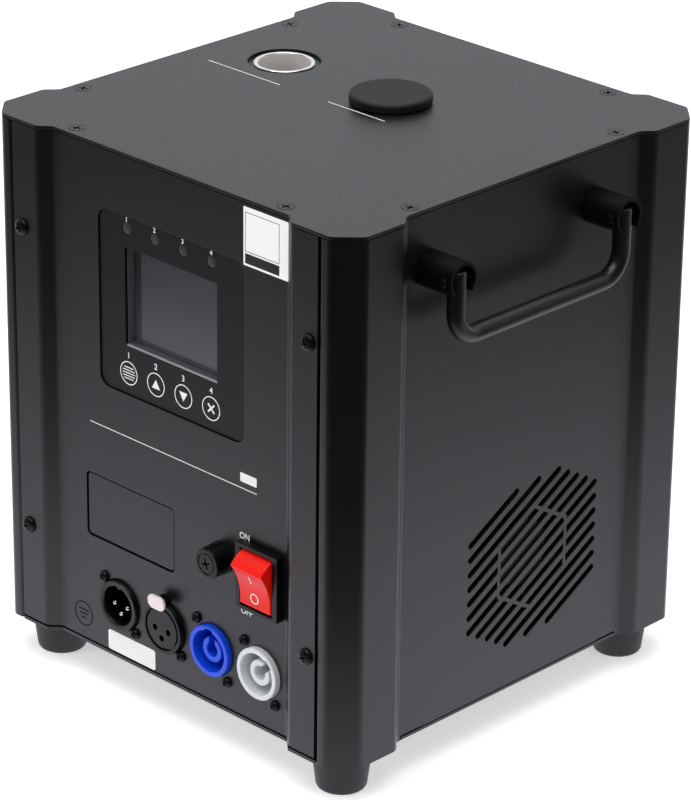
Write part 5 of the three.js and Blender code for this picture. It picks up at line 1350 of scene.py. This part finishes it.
class SPARK_OT_stage(bpy.types.Operator):
    """Set the camera, the floor and the light"""

    bl_idname = "spark.stage"
    bl_label = "Stage"

    def execute(self, context):
        values = settings("stage")
        set_camera(context, values)
        context.scene.view_settings.view_transform = "Standard"
        # The ceiling's softbox shows in the glosses; the two low ones only lift the walls' colours.
        lamps = [
            ("softbox_ceiling", (0.1, -0.25, 1.7), (0, 0, 0.1), 1.6, values.ceiling, True),
            ("softbox_front", (-0.9, -2.0, 1.0), (0, 0, 0.15), 1.0, 14.0, False),
            ("softbox_right", (2.2, 0.4, 0.9), (0, 0, 0.15), 1.0, 10.0, False),
        ]
        for name, place, aim, size, power, shown in lamps:
            bpy.ops.object.light_add(type="AREA", location=place)
            lamp = context.object
            lamp.name = name
            lamp.data.shape = "SQUARE"
            lamp.data.size = size
            lamp.data.energy = power
            lamp.visible_glossy = shown
            lamp.rotation_euler = (Vector(place) - Vector(aim)).to_track_quat("Z", "Y").to_euler()
        bpy.ops.mesh.primitive_plane_add(size=12)
        floor = context.object
        floor.name = "floor"
        floor.data.materials.append(floor_material())
        world_light(context, values.fill)
        return {"FINISHED"}


def towards_backdrop(tree, vector):
    node = add(tree, "ShaderNodeVectorMath", {0: vector, 1: BACKDROP}, operation="DOT_PRODUCT")
    return node.outputs["Value"]


def floor_material():
    """White paper sweep: pale and matt, so that only the machine's shadow shows on it"""
    material = bpy.data.materials.new("floor_paper")
    material.use_nodes = True
    tree = material.node_tree
    tree.nodes.clear()
    place = add(tree, "ShaderNodeTexCoord").outputs["Object"]
    grain = clouded(tree, place, 3, 2.0)
    shade = between(tree, grain, (0.78, 0.78, 0.785, 1), (0.82, 0.82, 0.825, 1))
    matt = add(tree, "ShaderNodeBsdfDiffuse", {"Color": shade})
    path = add(tree, "ShaderNodeLightPath").outputs
    level = maths(tree, "MULTIPLY", path["Is Camera Ray"], 0.5)
    glow = add(tree, "ShaderNodeEmission", {"Color": (1, 1, 1, 1), "Strength": level})
    straight = add(tree, "ShaderNodeAddShader", {0: matt.outputs[0], 1: glow.outputs[0]})
    # In a gloss or through glass the paper shows lit round the machine and behind it, and falls off
    # to the sides and towards the camera.
    reach = add(tree, "ShaderNodeVectorMath", {0: place}, operation="LENGTH").outputs["Value"]
    side = towards_backdrop(tree, place)
    round_it = ramp(tree, reach, 0.22, 0.75, 1.3, 0.12)
    this_side = ramp(tree, side, -0.36, -0.15, 0.02, 1.0)
    behind = ramp(tree, side, 0.1, 0.4, 0.0, 1.0)
    lit = maths(tree, "MAXIMUM", maths(tree, "MULTIPLY", round_it, this_side), behind)
    mirrored = add(tree, "ShaderNodeEmission", {"Color": (0.995, 0.955, 1.05, 1), "Strength": lit})
    gloss = maths(tree, "ADD", path["Is Glossy Ray"], path["Is Transmission Ray"], True)
    both = add(tree, "ShaderNodeMixShader", {0: gloss, 1: straight.outputs[0], 2: mirrored.outputs[0]})
    add(tree, "ShaderNodeOutputMaterial", {"Surface": both.outputs[0]})
    return material


def world_light(context, strength):
    """White where it is seen, dark on this side in the glosses, and an even soft light on surfaces"""
    world = bpy.data.worlds.new("studio")
    context.scene.world = world
    world.use_nodes = True
    tree = world.node_tree
    tree.nodes.clear()
    path = add(tree, "ShaderNodeLightPath").outputs
    way = add(tree, "ShaderNodeTexCoord").outputs["Generated"]
    mirrored = ramp(tree, towards_backdrop(tree, way), -0.1, 0.35, 0.04, 1.0)
    straight = ramp(tree, path["Is Camera Ray"], 0.0, 1.0, strength, 1.0)
    gloss = maths(tree, "ADD", path["Is Glossy Ray"], path["Is Transmission Ray"], True)
    level = add(tree, "ShaderNodeMix", {0: gloss, 2: straight, 3: mirrored}).outputs[0]
    colour = between(tree, gloss, (1, 1, 1, 1), (0.97, 0.995, 1.04, 1))
    light = add(tree, "ShaderNodeBackground", {"Color": colour, "Strength": level})
    add(tree, "ShaderNodeOutputWorld", {"Surface": light.outputs[0]})


OPERATORS = (
    SPARK_OT_top_plate,
    SPARK_OT_side_shells,
    SPARK_OT_panels,
    SPARK_OT_feet,
    SPARK_OT_handles,
    SPARK_OT_controls,
    SPARK_OT_switch,
    SPARK_OT_fuse,
    SPARK_OT_sockets,
    SPARK_OT_nozzle,
    SPARK_OT_screws,
    SPARK_OT_markings,
    SPARK_OT_inner_parts,
    SPARK_OT_stage,
)


class SPARK_PT_machine(bpy.types.Panel):
    """Lists the steps that make the machine"""

    bl_label = "Cold Spark Machine"
    bl_space_type = "VIEW_3D"
    bl_region_type = "UI"
    bl_category = "Spark"

    def draw(self, context):
        for operator in OPERATORS:
            self.layout.operator(operator.bl_idname)


GROUPS = {
    "housing": SparkHousing,
    "handles": SparkHandles,
    "controls": SparkControls,
    "finishes": SparkFinishes,
    "stage": SparkStage,
}


def register():
    for group in GROUPS.values():
        bpy.utils.register_class(group)
    for name, group in GROUPS.items():
        setattr(bpy.types.Scene, f"spark_{name}", PointerProperty(type=group))
    for operator in (*OPERATORS, SPARK_PT_machine):
        bpy.utils.register_class(operator)


def unregister():
    for operator in (*OPERATORS, SPARK_PT_machine):
        bpy.utils.unregister_class(operator)
    for name, group in GROUPS.items():
        delattr(bpy.types.Scene, f"spark_{name}")
        bpy.utils.unregister_class(group)


def main():
    register()
    bpy.ops.spark.top_plate()
    bpy.ops.spark.side_shells()
    bpy.ops.spark.panels()
    bpy.ops.spark.feet()
    bpy.ops.spark.handles()
    bpy.ops.spark.controls()
    bpy.ops.spark.switch()
    bpy.ops.spark.fuse()
    bpy.ops.spark.sockets()
    bpy.ops.spark.nozzle()
    bpy.ops.spark.screws()
    bpy.ops.spark.markings()
    bpy.ops.spark.inner_parts()
    bpy.ops.spark.stage()
    choose()


if __name__ == "__main__":
    main()
